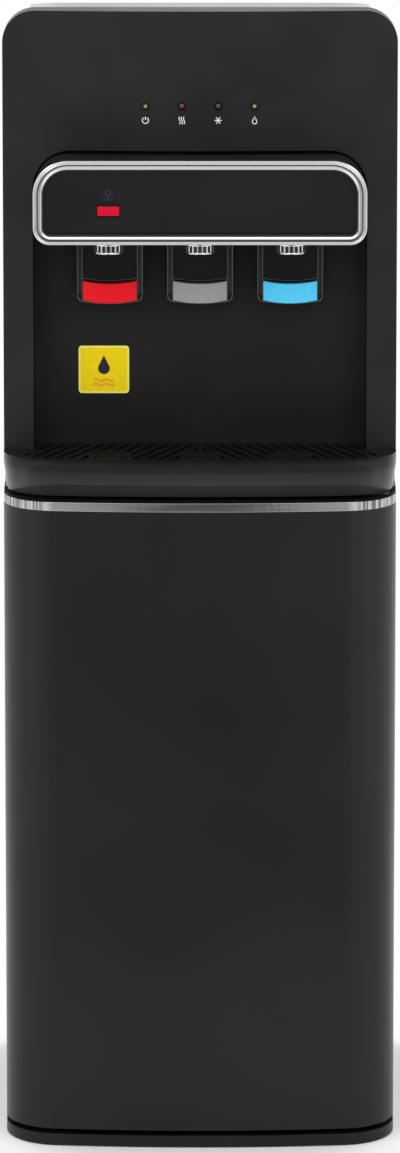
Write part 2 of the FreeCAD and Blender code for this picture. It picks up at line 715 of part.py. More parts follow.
def make_base_plinth():
    """Moulded base: the bowed outline, a ribbed underside and a raised stand for the bottle."""
    body = new_body("base_plinth")
    pad(body, "base_slab", "XY", PLINTH_BOTTOM, PLINTH_TOP, [bowed_loop(OUTER, PANEL_BACK)])
    stand_half = SIDE_INNER - size("flange_width") - size("foot_inset")
    stand_back = PANEL_FRONT - size("flange_width")
    stand = round_box_loop(
        -stand_half, stand_half, FRAME_FRONT, stand_back, size("platform_radius"), size("platform_radius")
    )
    pad(body, "bottle_stand", "XY", PLINTH_TOP, PLATFORM_TOP, [stand])
    ring = circle_loop(0, BOTTLE_Y, size("bottle_diameter") / 2 - size("plinth_wall"))
    pocket(body, "bottle_ring", "XY", PLATFORM_TOP, PLATFORM_TOP - size("bottle_ring_depth"), [ring])
    seat = hinge_plate_loop(SEAM / 3)
    pocket(body, "hinge_seat", "XY", PLINTH_TOP + 1, PLINTH_TOP - size("hinge_plate_thickness"), [seat])
    columns = size("rib_columns")
    cell_wide = (size("body_width") - size("foot_length") * 2 - size("plinth_wall")) / columns
    left = -(cell_wide * columns + size("plinth_wall")) / 2 + size("plinth_wall")
    right = left + cell_wide - size("plinth_wall")
    skin = PLINTH_TOP - size("plinth_skin")
    cell_back = PANEL_BACK - size("plinth_wall")
    middle = (OUTER.side_y + cell_back) / 2
    rows = [(OUTER.side_y, middle), (middle + size("plinth_wall"), cell_back)]
    for number, (low, high) in enumerate(rows, start=1):
        cell = pocket(body, f"cell_{number}", "XY", PLINTH_BOTTOM, skin, [box_loop(left, right, low, high)])
        row_of(body, f"cells_{number}", cell, "H_Axis", cell_wide, columns)
    return body


def hinge_plate_loop(grow):
    wide = size("hinge_plate_width") / 2 + grow
    left = HINGE_X - size("hinge_plate_length") + size("hinge_plate_width") / 2 - grow
    radius = wide - SHEET
    return round_box_loop(left, HINGE_X + wide, HINGE_Y - wide, HINGE_Y + wide, radius, radius)


def make_foot_pads():
    """Four rubber pads that follow the corners of the base and carry the machine."""
    body = new_body("foot_pads")
    inside = OUTER.inside(size("foot_inset"))
    back = PANEL_BACK - size("foot_inset")
    pad(body, "pad_sheet", "XY", 0, PLINTH_BOTTOM, [bowed_loop(inside, back)])
    gap_half = HALF - size("foot_length")
    front_gap = FRONT + size("foot_length")
    back_gap = PANEL_BACK - size("foot_length")
    across = box_loop(-gap_half, gap_half, FRONT - 1, PANEL_BACK)
    along = box_loop(-HALF, HALF, front_gap, back_gap)
    pocket(body, "gap_across", "XY", 0, PLINTH_BOTTOM, [across])
    pocket(body, "gap_along", "XY", 0, PLINTH_BOTTOM, [along])
    return body


def make_side_panel(name, sign):
    """Folded steel side: a web with folded edges at the front, the back and the top."""
    body = new_body(name)
    outer = HALF * sign
    inner = SIDE_INNER * sign
    lip = (SIDE_INNER - size("flange_width")) * sign
    fold = [
        (outer, FRAME_FRONT),
        (lip, FRAME_FRONT),
        (lip, FRAME_FRONT + SHEET),
        (inner, FRAME_FRONT + SHEET),
        (inner, PANEL_FRONT - SHEET),
        (lip, PANEL_FRONT - SHEET),
        (lip, PANEL_FRONT),
        (outer, PANEL_FRONT),
    ]
    pad(body, "folded_web", "XY", PLINTH_TOP, SIDE_TOP, [lines_loop(fold)])
    low = min(outer.number, lip.number) - 1
    high = max(outer.number, lip.number) + 1
    notch = box_loop(low, high, FRAME_FRONT - 1, ALCOVE_BACK)
    pocket(body, "shelf_notch", "XY", SHELF_BOTTOM, SIDE_TOP, [notch])
    flange = box_loop(*sorted_pair(lip, inner), ALCOVE_BACK, PANEL_FRONT - SHEET)
    pad(body, "top_fold", "XY", SIDE_TOP - SHEET, SIDE_TOP, [flange])
    return body


def sorted_pair(first, second):
    return (first, second) if first.number < second.number else (second, first)


def make_back_panel(name, low, high, louvre_base):
    """Steel back sheet with two columns of air slots."""
    body = new_body(name)
    half = HALF - SHEET
    pad(body, "back_sheet", "XZ", PANEL_FRONT, PANEL_BACK, [box_loop(-half, half, low, high)])
    slot_half = size("louvre_width") / 2
    for number, side in enumerate((-1, 1), start=1):
        middle = HALF * side / 2
        slot = box_loop(middle - slot_half, middle + slot_half, louvre_base, louvre_base + size("louvre_height"))
        cut = pocket(body, f"louvre_{number}", "XZ", PANEL_FRONT - 1, PANEL_BACK + 1, [slot])
        row_of(body, f"louvres_{number}", cut, "V_Axis", size("louvre_pitch"), size("louvre_count"))
    return body


def make_rear_panels():
    lower = make_back_panel("rear_panel_lower", PLINTH_TOP, DECK_TOP - SEAM, DECK_TOP - size("louvre_drop"))
    gland = circle_loop(INLET_X, size("inlet_lift"), size("inlet_bore"))
    pocket(lower, "gland_hole", "XZ", PANEL_FRONT - 1, PANEL_BACK + 1, [gland])
    upper = make_back_panel("rear_panel_upper", DECK_TOP, SIDE_TOP, DECK_TOP + size("mount_height"))
    half = size("switch_width") / 2 - size("switch_lip")
    tall = size("switch_height") / 2 - size("switch_lip")
    window = box_loop(SWITCH_X - half, SWITCH_X + half, SWITCH_Z - tall, SWITCH_Z + tall)
    pocket(upper, "switch_window", "XZ", PANEL_FRONT - 1, PANEL_BACK + 1, [window])
    return lower, upper


def make_mid_deck():
    """Steel deck over the bottle bay, folded down at the front as the cabinet's cross rail."""
    body = new_body("mid_deck")
    lip_front = FRAME_FRONT + SHEET
    fold = [
        (lip_front, SHELF_BOTTOM),
        (lip_front, SHELF_BOTTOM - size("deck_lip")),
        (lip_front + SHEET, SHELF_BOTTOM - size("deck_lip")),
        (lip_front + SHEET, SHELF_BOTTOM - SHEET),
        (PANEL_FRONT - SHEET, SHELF_BOTTOM - SHEET),
        (PANEL_FRONT - SHEET, SHELF_BOTTOM),
    ]
    pad(body, "folded_deck", "YZ", -SIDE_INNER, SIDE_INNER, [lines_loop(fold)])
    hose = circle_loop(HOSE_X, HOSE_Y, size("hose_diameter") / 2 + SEAM)
    pocket(body, "hose_hole", "XY", SHELF_BOTTOM + 1, SHELF_BOTTOM - SHEET - 1, [hose])
    return body


def tray_loop(inset):
    """Plan of the drip tray and grille: wide in front of the jambs, narrower between them."""
    edge = OUTER.inside(size("shelf_rim") + inset)
    step_y = FASCIA_FRONT - SEAM * 2 - inset
    neck = ALCOVE_HALF - SEAM * 2 - inset
    back = ALCOVE_BACK - SEAM * 2 - inset
    drop = edge.side_y - step_y
    side_x = edge.half - edge.corner + root(edge.corner * edge.corner - drop * drop)
    return [
        (-neck, back, None),
        (-neck, step_y, None),
        (-side_x, step_y, (edge.corner, LEFT_TURN)),
        (-edge.bow_x, edge.bow_y, (edge.bow, LEFT_TURN)),
        (edge.bow_x, edge.bow_y, (edge.corner, LEFT_TURN)),
        (side_x, step_y, None),
        (neck, step_y, None),
        (neck, back, None),
    ]


def sump_loop(inset):
    half = ALCOVE_HALF - size("sump_inset") - inset
    front = FASCIA_FRONT - size("fascia_setback") / 2 + inset
    back = ALCOVE_BACK - size("shelf_rim") - inset
    radius = size("shelf_rim") * 2 - inset
    return round_box_loop(-half, half, front, back, radius, radius)


TRAY_TOP = SHELF_TOP - size("grille_thickness")
TRAY_BOTTOM = TRAY_TOP - size("tray_height")
SLOT_LEAST = 60.0


def make_drip_shelf():
    """Moulded shelf: undercut for the fingers above the door, with a stepped recess for the tray."""
    body = new_body("drip_shelf")
    back = ALCOVE_BACK
    band_bottom = SHELF_TOP - size("shelf_band")
    taper = size("shelf_front_taper")
    side = size("shelf_side_taper")
    under = Bow(HALF - side, FRONT + taper, size("corner_radius") - side, size("bow_radius") - taper)
    low = sketch(body, "under_outline", "XY", SHELF_BOTTOM, [bowed_loop(under, back)])
    high = sketch(body, "band_outline", "XY", band_bottom, [bowed_loop(OUTER, back)])
    loft = body.newObject("PartDesign::AdditiveLoft", "undercut")
    loft.Profile = low
    loft.Sections = [high]
    loft.Ruled = True
    pad(body, "band", "XY", band_bottom, SHELF_TOP, [bowed_loop(OUTER, back)])
    pocket(body, "tray_recess", "XY", SHELF_TOP, TRAY_BOTTOM - SEAM, [tray_loop(as_size(0))])
    sump_bottom = TRAY_BOTTOM - size("sump_height") - SEAM
    pocket(body, "sump_recess", "XY", TRAY_BOTTOM, sump_bottom, [sump_loop(as_size(0))])
    return body


def make_drip_tray():
    """Lift-out tray: a thin moulding with a deeper sump."""
    body = new_body("drip_tray")
    gap = size("tray_clearance")
    wall = size("tray_wall")
    pad(body, "tray_block", "XY", TRAY_BOTTOM, TRAY_TOP, [tray_loop(gap)])
    sump_bottom = TRAY_BOTTOM - size("sump_height")
    pad(body, "sump_block", "XY", sump_bottom, TRAY_BOTTOM, [sump_loop(gap)])
    pocket(body, "tray_hollow", "XY", TRAY_TOP, TRAY_BOTTOM + wall, [tray_loop(gap + wall)])
    pocket(body, "sump_hollow", "XY", TRAY_TOP, sump_bottom + wall, [sump_loop(gap + wall)])
    return body


def slanted_slots(side):
    """Thin bars to one side of the middle, all leaning away from it towards the back."""
    pitch = size("slot_pitch").number
    wide = size("slot_width").number
    tall = size("grille_thickness").number * 2
    reach = (ALCOVE_BACK - FRONT).number / math.cos(math.radians(size("slot_slant").number)) + wide
    bars = []
    for number in range(int(HALF.number / pitch) + 2):
        bar = Part.makeBox(wide, reach, tall, FreeCAD.Vector(-wide / 2, 0, TRAY_TOP.number - tall / 4))
        bar.rotate(FreeCAD.Vector(0, 0, 0), FreeCAD.Vector(0, 0, 1), side * size("slot_slant").number)
        bar.translate(FreeCAD.Vector(side * (number + 0.5) * pitch, FRONT.number, 0))
        bars.append(bar)
    return bars


def target_centre(place):
    """Middle of the round mark under a tap."""
    mark_y = NOZZLE_Y + size("target_radius") - size("grille_rim")
    return vector(tap_x(place), mark_y, TRAY_TOP - size("grille_thickness") / 2)


def target_slots(place):
    """Straight slots across a round mark, each as long as the mark is wide there."""
    radius = size("target_radius").number
    pitch = size("target_pitch").number
    wide = size("slot_width").number
    steps = int(radius / pitch)
    slots = []
    for step in range(-steps, steps + 1):
        half = math.sqrt(radius * radius - (step * pitch) ** 2) - size("grille_rim").number / 4
        corner = target_centre(place) + FreeCAD.Vector(-half, step * pitch - wide / 2, 0)
        slots.append(Part.makeBox(2 * half, wide, size("grille_thickness").number * 2, corner))
    return slots


def slot_field(outline, side):
    """The part of the grille that slanted slots may take on one side of the middle."""
    tall = size("grille_thickness").number * 2
    rib = size("grille_rim").number / 2
    wide = size("body_width").number
    deep = size("body_depth").number
    corner = FreeCAD.Vector(rib if side > 0 else -wide - rib, -deep, TRAY_TOP.number - tall / 4)
    field = outline.common(Part.makeBox(wide, 2 * deep, tall, corner))
    mark = size("target_radius").number + rib
    for place in TAPS.values():
        field = field.cut(Part.makeCylinder(mark, tall, target_centre(place)))
    return field


def make_drip_grille():
    """Flat grille: slanted slots in a chevron, and a round mark of straight slots under each tap."""
    body = new_body("grille_plate")
    gap = size("tray_clearance")
    pad(body, "grille_sheet", "XY", TRAY_TOP, SHELF_TOP, [tray_loop(gap)])
    inside = new_body("grille_inside")
    over = size("grille_thickness") / 2
    pad(inside, "inside_sheet", "XY", TRAY_TOP - over, SHELF_TOP + over, [tray_loop(gap + size("grille_rim"))])
    doc.recompute()
    cuts = []
    for side in (-1, 1):
        field = slot_field(inside.Shape, side)
        for bar in slanted_slots(side):
            cuts.extend(piece for piece in bar.common(field).Solids if piece.Volume > SLOT_LEAST)
    for place in TAPS.values():
        cuts.extend(target_slots(place))
    grille = doc.addObject("Part::Cut", "drip_grille")
    grille.Base = body
    grille.Tool = solid_feature("grille_slots", Part.makeCompound(cuts))
    grille.Label = "drip_grille"
    return grille


def make_fascia_frame():
    """Moulded head: a bowed front with the alcove opening, hollow behind, with posts for the lamps."""
    body = new_body("fascia_frame")
    wall = size("fascia_wall")
    bow = size("fascia_bow_radius")
    sag = bow - root(bow * bow - HALF * HALF)
    outline = arch_loop(-HALF, HALF, SHELF_TOP, HEAD_TOP, size("fascia_radius"))
    pad(body, "head_block", "XZ", ALCOVE_BACK, FASCIA_FRONT, [outline])
    front = [
        (-HALF, FASCIA_FRONT + sag, (bow, LEFT_TURN)),
        (HALF, FASCIA_FRONT + sag, None),
        (HALF, FASCIA_FRONT - 1, None),
        (-HALF, FASCIA_FRONT - 1, None),
    ]
    pocket(body, "bowed_front", "XY", HEAD_TOP + 1, SHELF_TOP - 1, [front])
    opening = arch_loop(-ALCOVE_HALF, ALCOVE_HALF, SHELF_TOP - 1, ALCOVE_TOP, size("alcove_radius"))
    pocket(body, "alcove_opening", "XZ", ALCOVE_BACK + 1, FASCIA_FRONT - 1, [opening])
    hollow_front = FASCIA_FRONT + sag + wall
    hollow = round_box_loop(
        -HALF + wall, HALF - wall, ALCOVE_TOP + wall, HEAD_TOP - wall, wall, size("fascia_radius") - wall
    )
    pocket(body, "head_hollow", "XZ", ALCOVE_BACK, hollow_front, [hollow])
    span = HALF - size("fascia_radius")
    inner_bow = bow - wall
    inner_sag = inner_bow - root(inner_bow * inner_bow - span * span)
    lens = [
        (-span, FASCIA_FRONT + wall + inner_sag, (inner_bow, LEFT_TURN)),
        (span, FASCIA_FRONT + wall + inner_sag, None),
        (span, hollow_front + 1, None),
        (-span, hollow_front + 1, None),
    ]
    pocket(body, "even_wall", "XY", ALCOVE_TOP + wall, HEAD_TOP - size("fascia_radius"), [lens])
    for number, side in enumerate((-1, 1), start=1):
        edges = sorted_pair((HALF - wall) * side, (ALCOVE_HALF + wall) * side)
        jamb = box_loop(*edges, SHELF_TOP + wall, ALCOVE_TOP - wall)
        pocket(body, f"jamb_hollow_{number}", "XZ", ALCOVE_BACK, hollow_front, [jamb])
    board_front = FASCIA_FRONT + size("lamp_board_back")
    posts = [circle_loop(size("boss_across") * side, LAMP_Z, size("boss_diameter") / 2) for side in (-1, 1)]
    pad(body, "board_posts", "XZ", board_front, FASCIA_FRONT + wall, posts)
    holes = [circle_loop(x, LAMP_Z, size("lamp_diameter") / 2 + size("lamp_gap")) for x in lamp_places()]
    pocket(body, "lamp_holes", "XZ", board_front + 1, FASCIA_FRONT - 1, holes)
    return body


def lamp_places():
    return [size("lamp_spacing") * (number - 1.5) for number in range(4)]


def make_led_lenses():
    """Four clear lenses in the head, one lamp each."""
    body = new_body("led_lenses")
    radius = size("lamp_diameter") / 2
    face = FASCIA_FRONT - size("lamp_proud")
    back = FASCIA_FRONT + size("lamp_board_back")
    pads = [circle_loop(x, LAMP_Z, radius) for x in lamp_places()]
    pad(body, "lenses", "XZ", back, face, pads)
    return body


def make_led_board():
    body = new_body("led_board")
    half = size("lamp_board_width") / 2
    tall = size("lamp_board_height") / 2
    front = FASCIA_FRONT + size("lamp_board_back")
    board = box_loop(-half, half, LAMP_Z - tall, LAMP_Z + tall)
    pad(body, "board", "XZ", front, front + size("board_thickness"), [board])
    return body


def make_alcove_panel():
    """Flat back wall of the alcove, with holes for the three tap pipes."""
    body = new_body("alcove_panel")
    panel_half = SIDE_INNER - size("flange_width")
    wall = size("fascia_wall")
    sheet_loop = box_loop(-panel_half, panel_half, SHELF_TOP, ALCOVE_TOP + wall)
    pad(body, "wall_sheet", "XZ", ALCOVE_BACK, ALCOVE_BACK + wall, [sheet_loop])
    foot = box_loop(-ALCOVE_HALF, ALCOVE_HALF, SHELF_BOTTOM, SHELF_TOP)
    pad(body, "wall_foot", "XZ", ALCOVE_BACK, ALCOVE_BACK + wall, [foot])
    holes = shank_holes()
    pocket(body, "pipe_holes", "XZ", ALCOVE_BACK - 1, ALCOVE_BACK + wall + 1, holes)
    return body


TAP_BLOCK_LOW = POD_BOTTOM + size("pod_wall") + size("tap_lift")
SHANK_Z = TAP_BLOCK_LOW + size("shank_lift")


def tap_x(place):
    return size("tap_spacing") * place


def shank_holes():
    radius = size("shank_diameter") / 2 + SEAM
    return [circle_loop(tap_x(place), SHANK_Z, radius) for place in TAPS.values()]


def make_top_cover():
    """Moulded lid: level behind the head, then falling to the back, hollow underneath."""
    body = new_body("top_cover")
    half = HALF - size("cover_inset")
    low = HEAD_TOP - size("cover_height")
    back = PANEL_BACK
    outline = arch_loop(-half, half, low, HEAD_TOP - 1, size("cover_radius"))
    pad(body, "lid", "XZ", ALCOVE_BACK, back, [outline])
    bend = ALCOVE_BACK + size("cover_flat")
    fall = [(bend, HEAD_TOP - 1), (back + 1, HEAD_TOP - 1 - size("cover_fall")), (back + 1, HEAD_TOP + 1), (bend, HEAD_TOP + 1)]
    pocket(body, "slope", "YZ", -HALF, HALF, [lines_loop(fall)])
    wall = size("fascia_wall")
    inside = arch_loop(
        -half + wall, half - wall, low - 1, HEAD_TOP - 1 - size("cover_fall") - wall, size("cover_radius") - wall
    )
    pocket(body, "lid_hollow", "XZ", ALCOVE_BACK + wall, back - wall, [inside])
    return body


def pod_loop(inset):
    return round_box_loop(
        -POD_HALF + inset, POD_HALF - inset, POD_BOTTOM + inset, POD_TOP - inset,
        size("pod_bottom_radius") - inset, size("pod_top_radius") - inset,
    )


def make_pod_shell():
    """Tap housing: a box open at the front, with holes for nozzles, levers and tap pipes."""
    body = new_body("pod_shell")
    wall = size("pod_wall")
    pad(body, "housing", "XZ", ALCOVE_BACK, RING_BACK, [pod_loop(as_size(0))])
    pocket(body, "hollow", "XZ", RING_BACK, ALCOVE_BACK - wall, [pod_loop(wall)])
    reach = size("nozzle_radius") + size("nozzle_gap")
    nozzles = [circle_loop(tap_x(place), NOZZLE_Y, reach) for place in TAPS.values()]
    pocket(body, "nozzle_holes", "XY", POD_BOTTOM - 1, POD_BOTTOM + wall + 1, nozzles)
    half = size("lever_width") / 2 + 1
    front = ALCOVE_BACK - size("lever_front") - size("lever_slot_gap")
    back = ALCOVE_BACK - wall - size("lever_slot_gap")
    slots = [box_loop(tap_x(place) - half, tap_x(place) + half, front, back) for place in TAPS.values()]
    pocket(body, "lever_slots", "XY", POD_BOTTOM - 1, POD_BOTTOM + wall + 1, slots)
    pocket(body, "pipe_holes", "XZ", ALCOVE_BACK + 1, ALCOVE_BACK - wall - 1, shank_holes())
    return body


def make_chrome_ring():
    """Bright bezel: rounded outer bead, bevelled inner lip and a ledge that carries the face panel."""
    body = new_body("chrome_ring")
    width = size("ring_width")
    pad(body, "bezel", "XZ", RING_BACK, FRONT, [pod_loop(as_size(0))])
    pocket(body, "window", "XZ", FRONT, FACE_BACK, [pod_loop(width)])
    pocket(body, "ledge", "XZ", FACE_BACK, RING_BACK, [pod_loop(width + size("ring_ledge"))])

    def outer_front(edge):
        box = edge.BoundBox
        flat = close_to(box.YMin, FRONT) and close_to(box.YMax, FRONT)
        wide = max(abs(box.XMin), abs(box.XMax)) > (POD_HALF - width / 2).number
        tall = box.ZMax > (POD_TOP - width / 2).number or box.ZMin < (POD_BOTTOM + width / 2).number
        return flat and (wide or tall)

    def inner_front(edge):
        box = edge.BoundBox
        flat = close_to(box.YMin, FRONT) and close_to(box.YMax, FRONT)
        narrow = max(abs(box.XMin), abs(box.XMax)) < (POD_HALF - width / 2).number
        low = box.ZMax < (POD_TOP - width / 2).number and box.ZMin > (POD_BOTTOM + width / 2).number
        return flat and narrow and low

    round_edges(body, "outer_bead", size("ring_round"), outer_front)
    bevel_edges(body, "inner_lip", size("ring_lip"), inner_front)
    return body


def make_pod_face():
    """Flat face panel inside the bright ring, with the window of the child lock."""
    body = new_body("pod_face")
    gap = size("ring_width") + SEAM
    pad(body, "panel", "XZ", FACE_BACK, FACE_FRONT, [pod_loop(gap)])
    pocket(body, "lock_window", "XZ", FACE_BACK + 1, FACE_FRONT - 1, [lock_loop(size("lock_gap"))])
    return body


def lock_loop(grow):
    x = -size("lock_across")
    z = POD_BOTTOM + size("lock_lift")
    half = size("lock_width") / 2 + grow
    tall = size("lock_height") / 2 + grow
    return box_loop(x - half, x + half, z - tall, z + tall)


LOCK_LIP_BACK = FACE_BACK + SEAM + size("lock_lip")


def make_lock_button():
    """Child lock key: its lip lies behind the panel, so it can be pressed but not pulled out."""
    body = new_body("lock_button")
    front = FACE_FRONT - size("lock_proud")
    pad(body, "key", "XZ", LOCK_LIP_BACK, front, [lock_loop(as_size(0))])
    pad(body, "lip", "XZ", FACE_BACK + SEAM, LOCK_LIP_BACK, [lock_loop(size("lock_lip"))])
    return body


def make_lock_switch_case():
    """Case behind the face panel that guides the key."""
    body = new_body("lock_switch_case")
    hollow = size("lock_lip") + SEAM
    back = FACE_BACK + size("lock_case_depth")
    pad(body, "case", "XZ", FACE_BACK, back, [lock_loop(hollow + size("lock_case_wall"))])
    floor = LOCK_LIP_BACK + size("lock_travel") + SEAM
    pocket(body, "case_hollow", "XZ", FACE_BACK, floor, [lock_loop(hollow)])
    return body


def make_tap_body(name, place):
    """Tap: a short column over the nozzle, a valve block, a pipe to the back and two pin ears."""
    body = new_body(name)
    floor = POD_BOTTOM + size("pod_wall")
    top = TAP_BLOCK_LOW + size("tap_block_height")
    half = size("tap_block_width") / 2
    back = ALCOVE_BACK - size("pod_wall")
    valve_front = FRONT + size("valve_front")
    valve_back = valve_front + size("valve_length")
    side = lines_loop([
        (back, TAP_BLOCK_LOW), (back, top), (valve_front, top), (valve_front, floor), (valve_back, floor),
        (valve_back, TAP_BLOCK_LOW),
    ])
    pad(body, "valve", "YZ", -half, half, [side])
    column = circle_loop(0, NOZZLE_Y, size("column_radius"))
    pad(body, "column", "XY", floor, floor + size("column_height"), [column])
    pipe = circle_loop(0, SHANK_Z, size("shank_diameter") / 2)
    pad(body, "pipe", "XZ", back - 1, ALCOVE_BACK + size("shank_length"), [pipe])
    tip = size("ear_radius")
    ear = [
        (PIVOT_Y - tip, TAP_BLOCK_LOW + 1, None),
        (PIVOT_Y - tip, PIVOT_Z, (tip, LEFT_TURN)),
        (PIVOT_Y, PIVOT_Z - tip, (tip, LEFT_TURN)),
        (PIVOT_Y + tip, PIVOT_Z, None),
        (PIVOT_Y + tip, TAP_BLOCK_LOW + 1, None),
    ]
    inner = half - size("ear_thickness")
    pad(body, "ear_left", "YZ", -half, -inner, [ear])
    pad(body, "ear_right", "YZ", inner, half, [ear])
    bore = circle_loop(PIVOT_Y, PIVOT_Z, size("lever_pin_diameter") / 2)
    pocket(body, "pin_bore", "YZ", -half - 1, half + 1, [bore])
    move_to(body, x=tap_x(place))
    return body


def make_nozzle(name, place):
    """Bright nozzle with a rim, under the tap."""
    body = new_body(name)
    bore = size("nozzle_bore") / 2
    neck = size("nozzle_radius")
    rim = neck + size("nozzle_rim")
    drop = size("nozzle_drop")
    high = drop + size("pod_wall")
    step = size("nozzle_rim_height")
    profile = [(bore, 0), (rim, 0), (rim, step), (neck, step), (neck, high), (bore, high)]
    spin(body, "turned_nozzle", profile)
    move_to(body, x=tap_x(place), y=NOZZLE_Y, z=POD_BOTTOM - drop)
    return body


LEVER_FRONT = ALCOVE_BACK - size("lever_front")
LEVER_BACK = LEVER_FRONT + size("lever_thickness")
LEVER_BOTTOM = POD_BOTTOM - size("lever_drop")


def smile_loop(half, low, high, sag, high_sag=None):
    """An outline whose lower edge sags in the middle, and whose upper edge can sag too."""
    curve = (half * half + sag * sag) / (sag * 2)
    loop = [(-half, low + sag, (curve, LEFT_TURN)), (half, low + sag, None)]
    if high_sag is None:
        return loop + [(half, high, None), (-half, high, None)]
    return loop + [(half, high, (curve, RIGHT_TURN)), (-half, high, None)]


def make_lever(name, place):
    """Push lever: a web between two side flanges, hung from a barrel inside the housing."""
    body = new_body(name)
    half = size("lever_width") / 2
    sag = size("pad_sag")
    outline = smile_loop(half, LEVER_BOTTOM, PIVOT_Z, sag)
    pad(body, "blank", "XZ", LEVER_BACK, LEVER_FRONT, [outline])
    inner = half - size("lever_flange")
    web_front = LEVER_FRONT + size("lever_web_back")
    web_back = web_front + size("lever_web")
    base = LEVER_BOTTOM + size("lever_lip")
    front_pan = smile_loop(inner, base, PIVOT_Z + 1, sag)
    pocket(body, "front_pan", "XZ", LEVER_FRONT, web_front, [front_pan])
    back_pan = box_loop(-inner, inner, base + sag * 2, PIVOT_Z - size("barrel_radius") * 2)
    pocket(body, "back_pan", "XZ", LEVER_BACK, web_back, [back_pan])
    ridge_low = base + size("pad_height") + size("brow_gap")
    ridge = smile_loop(inner, ridge_low, ridge_low + size("brow_height") + sag, sag, sag)
    pad(body, "brow", "XZ", web_front, web_front - size("brow_depth"), [ridge])
    over = POD_BOTTOM + size("pod_wall") + 1
    barrel_half = size("tap_block_width") / 2 - size("ear_thickness") - size("barrel_gap")
    for number, side in enumerate((-1, 1), start=1):
        edges = sorted_pair(barrel_half * side, (half + 1) * side)
        shoulder = box_loop(*edges, over, PIVOT_Z + 1)
        pocket(body, f"shoulder_{number}", "XZ", LEVER_BACK + 1, LEVER_FRONT - 1, [shoulder])
    barrel = circle_loop(PIVOT_Y, PIVOT_Z, size("barrel_radius"))
    pad(body, "barrel", "YZ", -barrel_half, barrel_half, [barrel])
    bore = circle_loop(PIVOT_Y, PIVOT_Z, size("lever_pin_diameter") / 2 + size("lever_clearance"))
    pocket(body, "bore", "YZ", -barrel_half - 1, barrel_half + 1, [bore])

    def lower_corner(edge):
        box = edge.BoundBox
        along = box.YLength > size("lever_thickness").number - 0.01 and box.XLength < 0.01 and box.ZLength < 0.01
        return along and close_to(abs(box.XMin), half) and close_to(box.ZMin, LEVER_BOTTOM + sag)

    round_edges(body, "round_corners", size("lever_radius"), lower_corner)
    move_to(body, x=tap_x(place))
    return body


def make_lever_pad(name, place):
    """Coloured pad set into the lever, curved towards the cup and along its two long edges."""
    body = new_body(name)
    half = size("pad_width") / 2
    low = LEVER_BOTTOM + size("lever_lip")
    high = low + size("pad_height")
    sag = size("pad_sag")
    bulge = size("pad_bulge")
    edge_y = LEVER_FRONT - size("pad_edge")
    front = edge_y - bulge
    back = LEVER_FRONT + size("lever_web_back")
    outline = smile_loop(half, low, high + sag, sag, sag)
    pad(body, "pad_block", "XZ", back, front, [outline])
    curve = (half * half + bulge * bulge) / (bulge * 2)
    scoop = [
        (-half - 1, edge_y, None),
        (-half, edge_y, (curve, LEFT_TURN)),
        (half, edge_y, None),
        (half + 1, edge_y, None),
        (half + 1, front - 1, None),
        (-half - 1, front - 1, None),
    ]
    pocket(body, "crowned_face", "XY", high + sag * 2, low - 1, [scoop])
    move_to(body, x=tap_x(place))
    return body


def make_lever_pins():
    """Three steel pins, one through the ears of each tap."""
    body = new_body("lever_pins")
    half = size("tap_block_width") / 2
    pin = circle_loop(PIVOT_Y, PIVOT_Z, size("lever_pin_diameter") / 2)
    for name, place in TAPS.items():
        middle = tap_x(place)
        pad(body, f"pin_{name}", "YZ", middle - half, middle + half, [pin])
    return body


INNER_SKIN = OUTER.inside(size("door_skin_wall"))
BACK_ROUND = (DOOR_BACK - OUTER.side_y) * size("door_back_share")


def make_door_skin():
    """Door skin: one bowed sheet that wraps both front corners."""
    body = new_body("door_skin")
    pad(body, "wrapped_sheet", "XY", DOOR_BOTTOM, TRIM_BOTTOM, [bowed_strip(OUTER, INNER_SKIN)])
    return body


def make_door_liner():
    """Moulded back of the door, recessed in the middle to clear the bottle."""
    body = new_body("door_liner")
    rim = size("liner_rim")
    wall = size("liner_wall")
    recess = size("liner_recess")
    side_y = OUTER.side_y
    pad(body, "rim_block", "XZ", DOOR_BACK, side_y, [box_loop(-HALF, HALF, DOOR_BOTTOM, TRIM_BOTTOM)])
    low = DOOR_BOTTOM + size("liner_sill")
    high = TRIM_BOTTOM - rim
    half = HALF - rim
    outer = round_box_loop(-half, half, low, high, rim / 2, rim / 2)
    inner = round_box_loop(-half + wall, half - wall, low + wall, high - wall, rim / 2 - wall, rim / 2 - wall)
    pad(body, "pan_block", "XZ", DOOR_BACK - 1, DOOR_BACK - recess - wall, [outer])
    pocket(body, "pan_hollow", "XZ", DOOR_BACK, DOOR_BACK - recess, [inner])

    def back_corner(edge):
        return upright_at(HALF, DOOR_BACK)(edge) or upright_at(-HALF, DOOR_BACK)(edge)

    round_edges(body, "round_back", BACK_ROUND, back_corner)
    return body


CAP_BACK = OUTER.side_y - SEAM
BUSH_RADIUS = size("hinge_pin_diameter") / 2 + size("hinge_clearance") + size("bush_wall")


def make_door_bottom_cap():
    body = new_body("door_bottom_cap")
    inner = OUTER.inside(size("door_skin_wall") + SEAM)
    low = DOOR_BOTTOM
    high = DOOR_BOTTOM + size("cap_thickness")
    pad(body, "plug", "XY", low, high, [cap_loop(inner)])
    pocket(body, "bush_seat", "XY", low - 1, high + 1, [circle_loop(HINGE_X, HINGE_Y, BUSH_RADIUS)])
    return body


def cap_loop(bow):
    """Like the skin's inside, closed by a straight line just in front of the liner."""
    return [
        (-bow.half, CAP_BACK, None),
        (-bow.half, bow.side_y - 1, (bow.corner, LEFT_TURN)),
        (-bow.bow_x, bow.bow_y, (bow.bow, LEFT_TURN)),
        (bow.bow_x, bow.bow_y, (bow.corner, LEFT_TURN)),
        (bow.half, bow.side_y - 1, None),
        (bow.half, CAP_BACK, None),
    ]


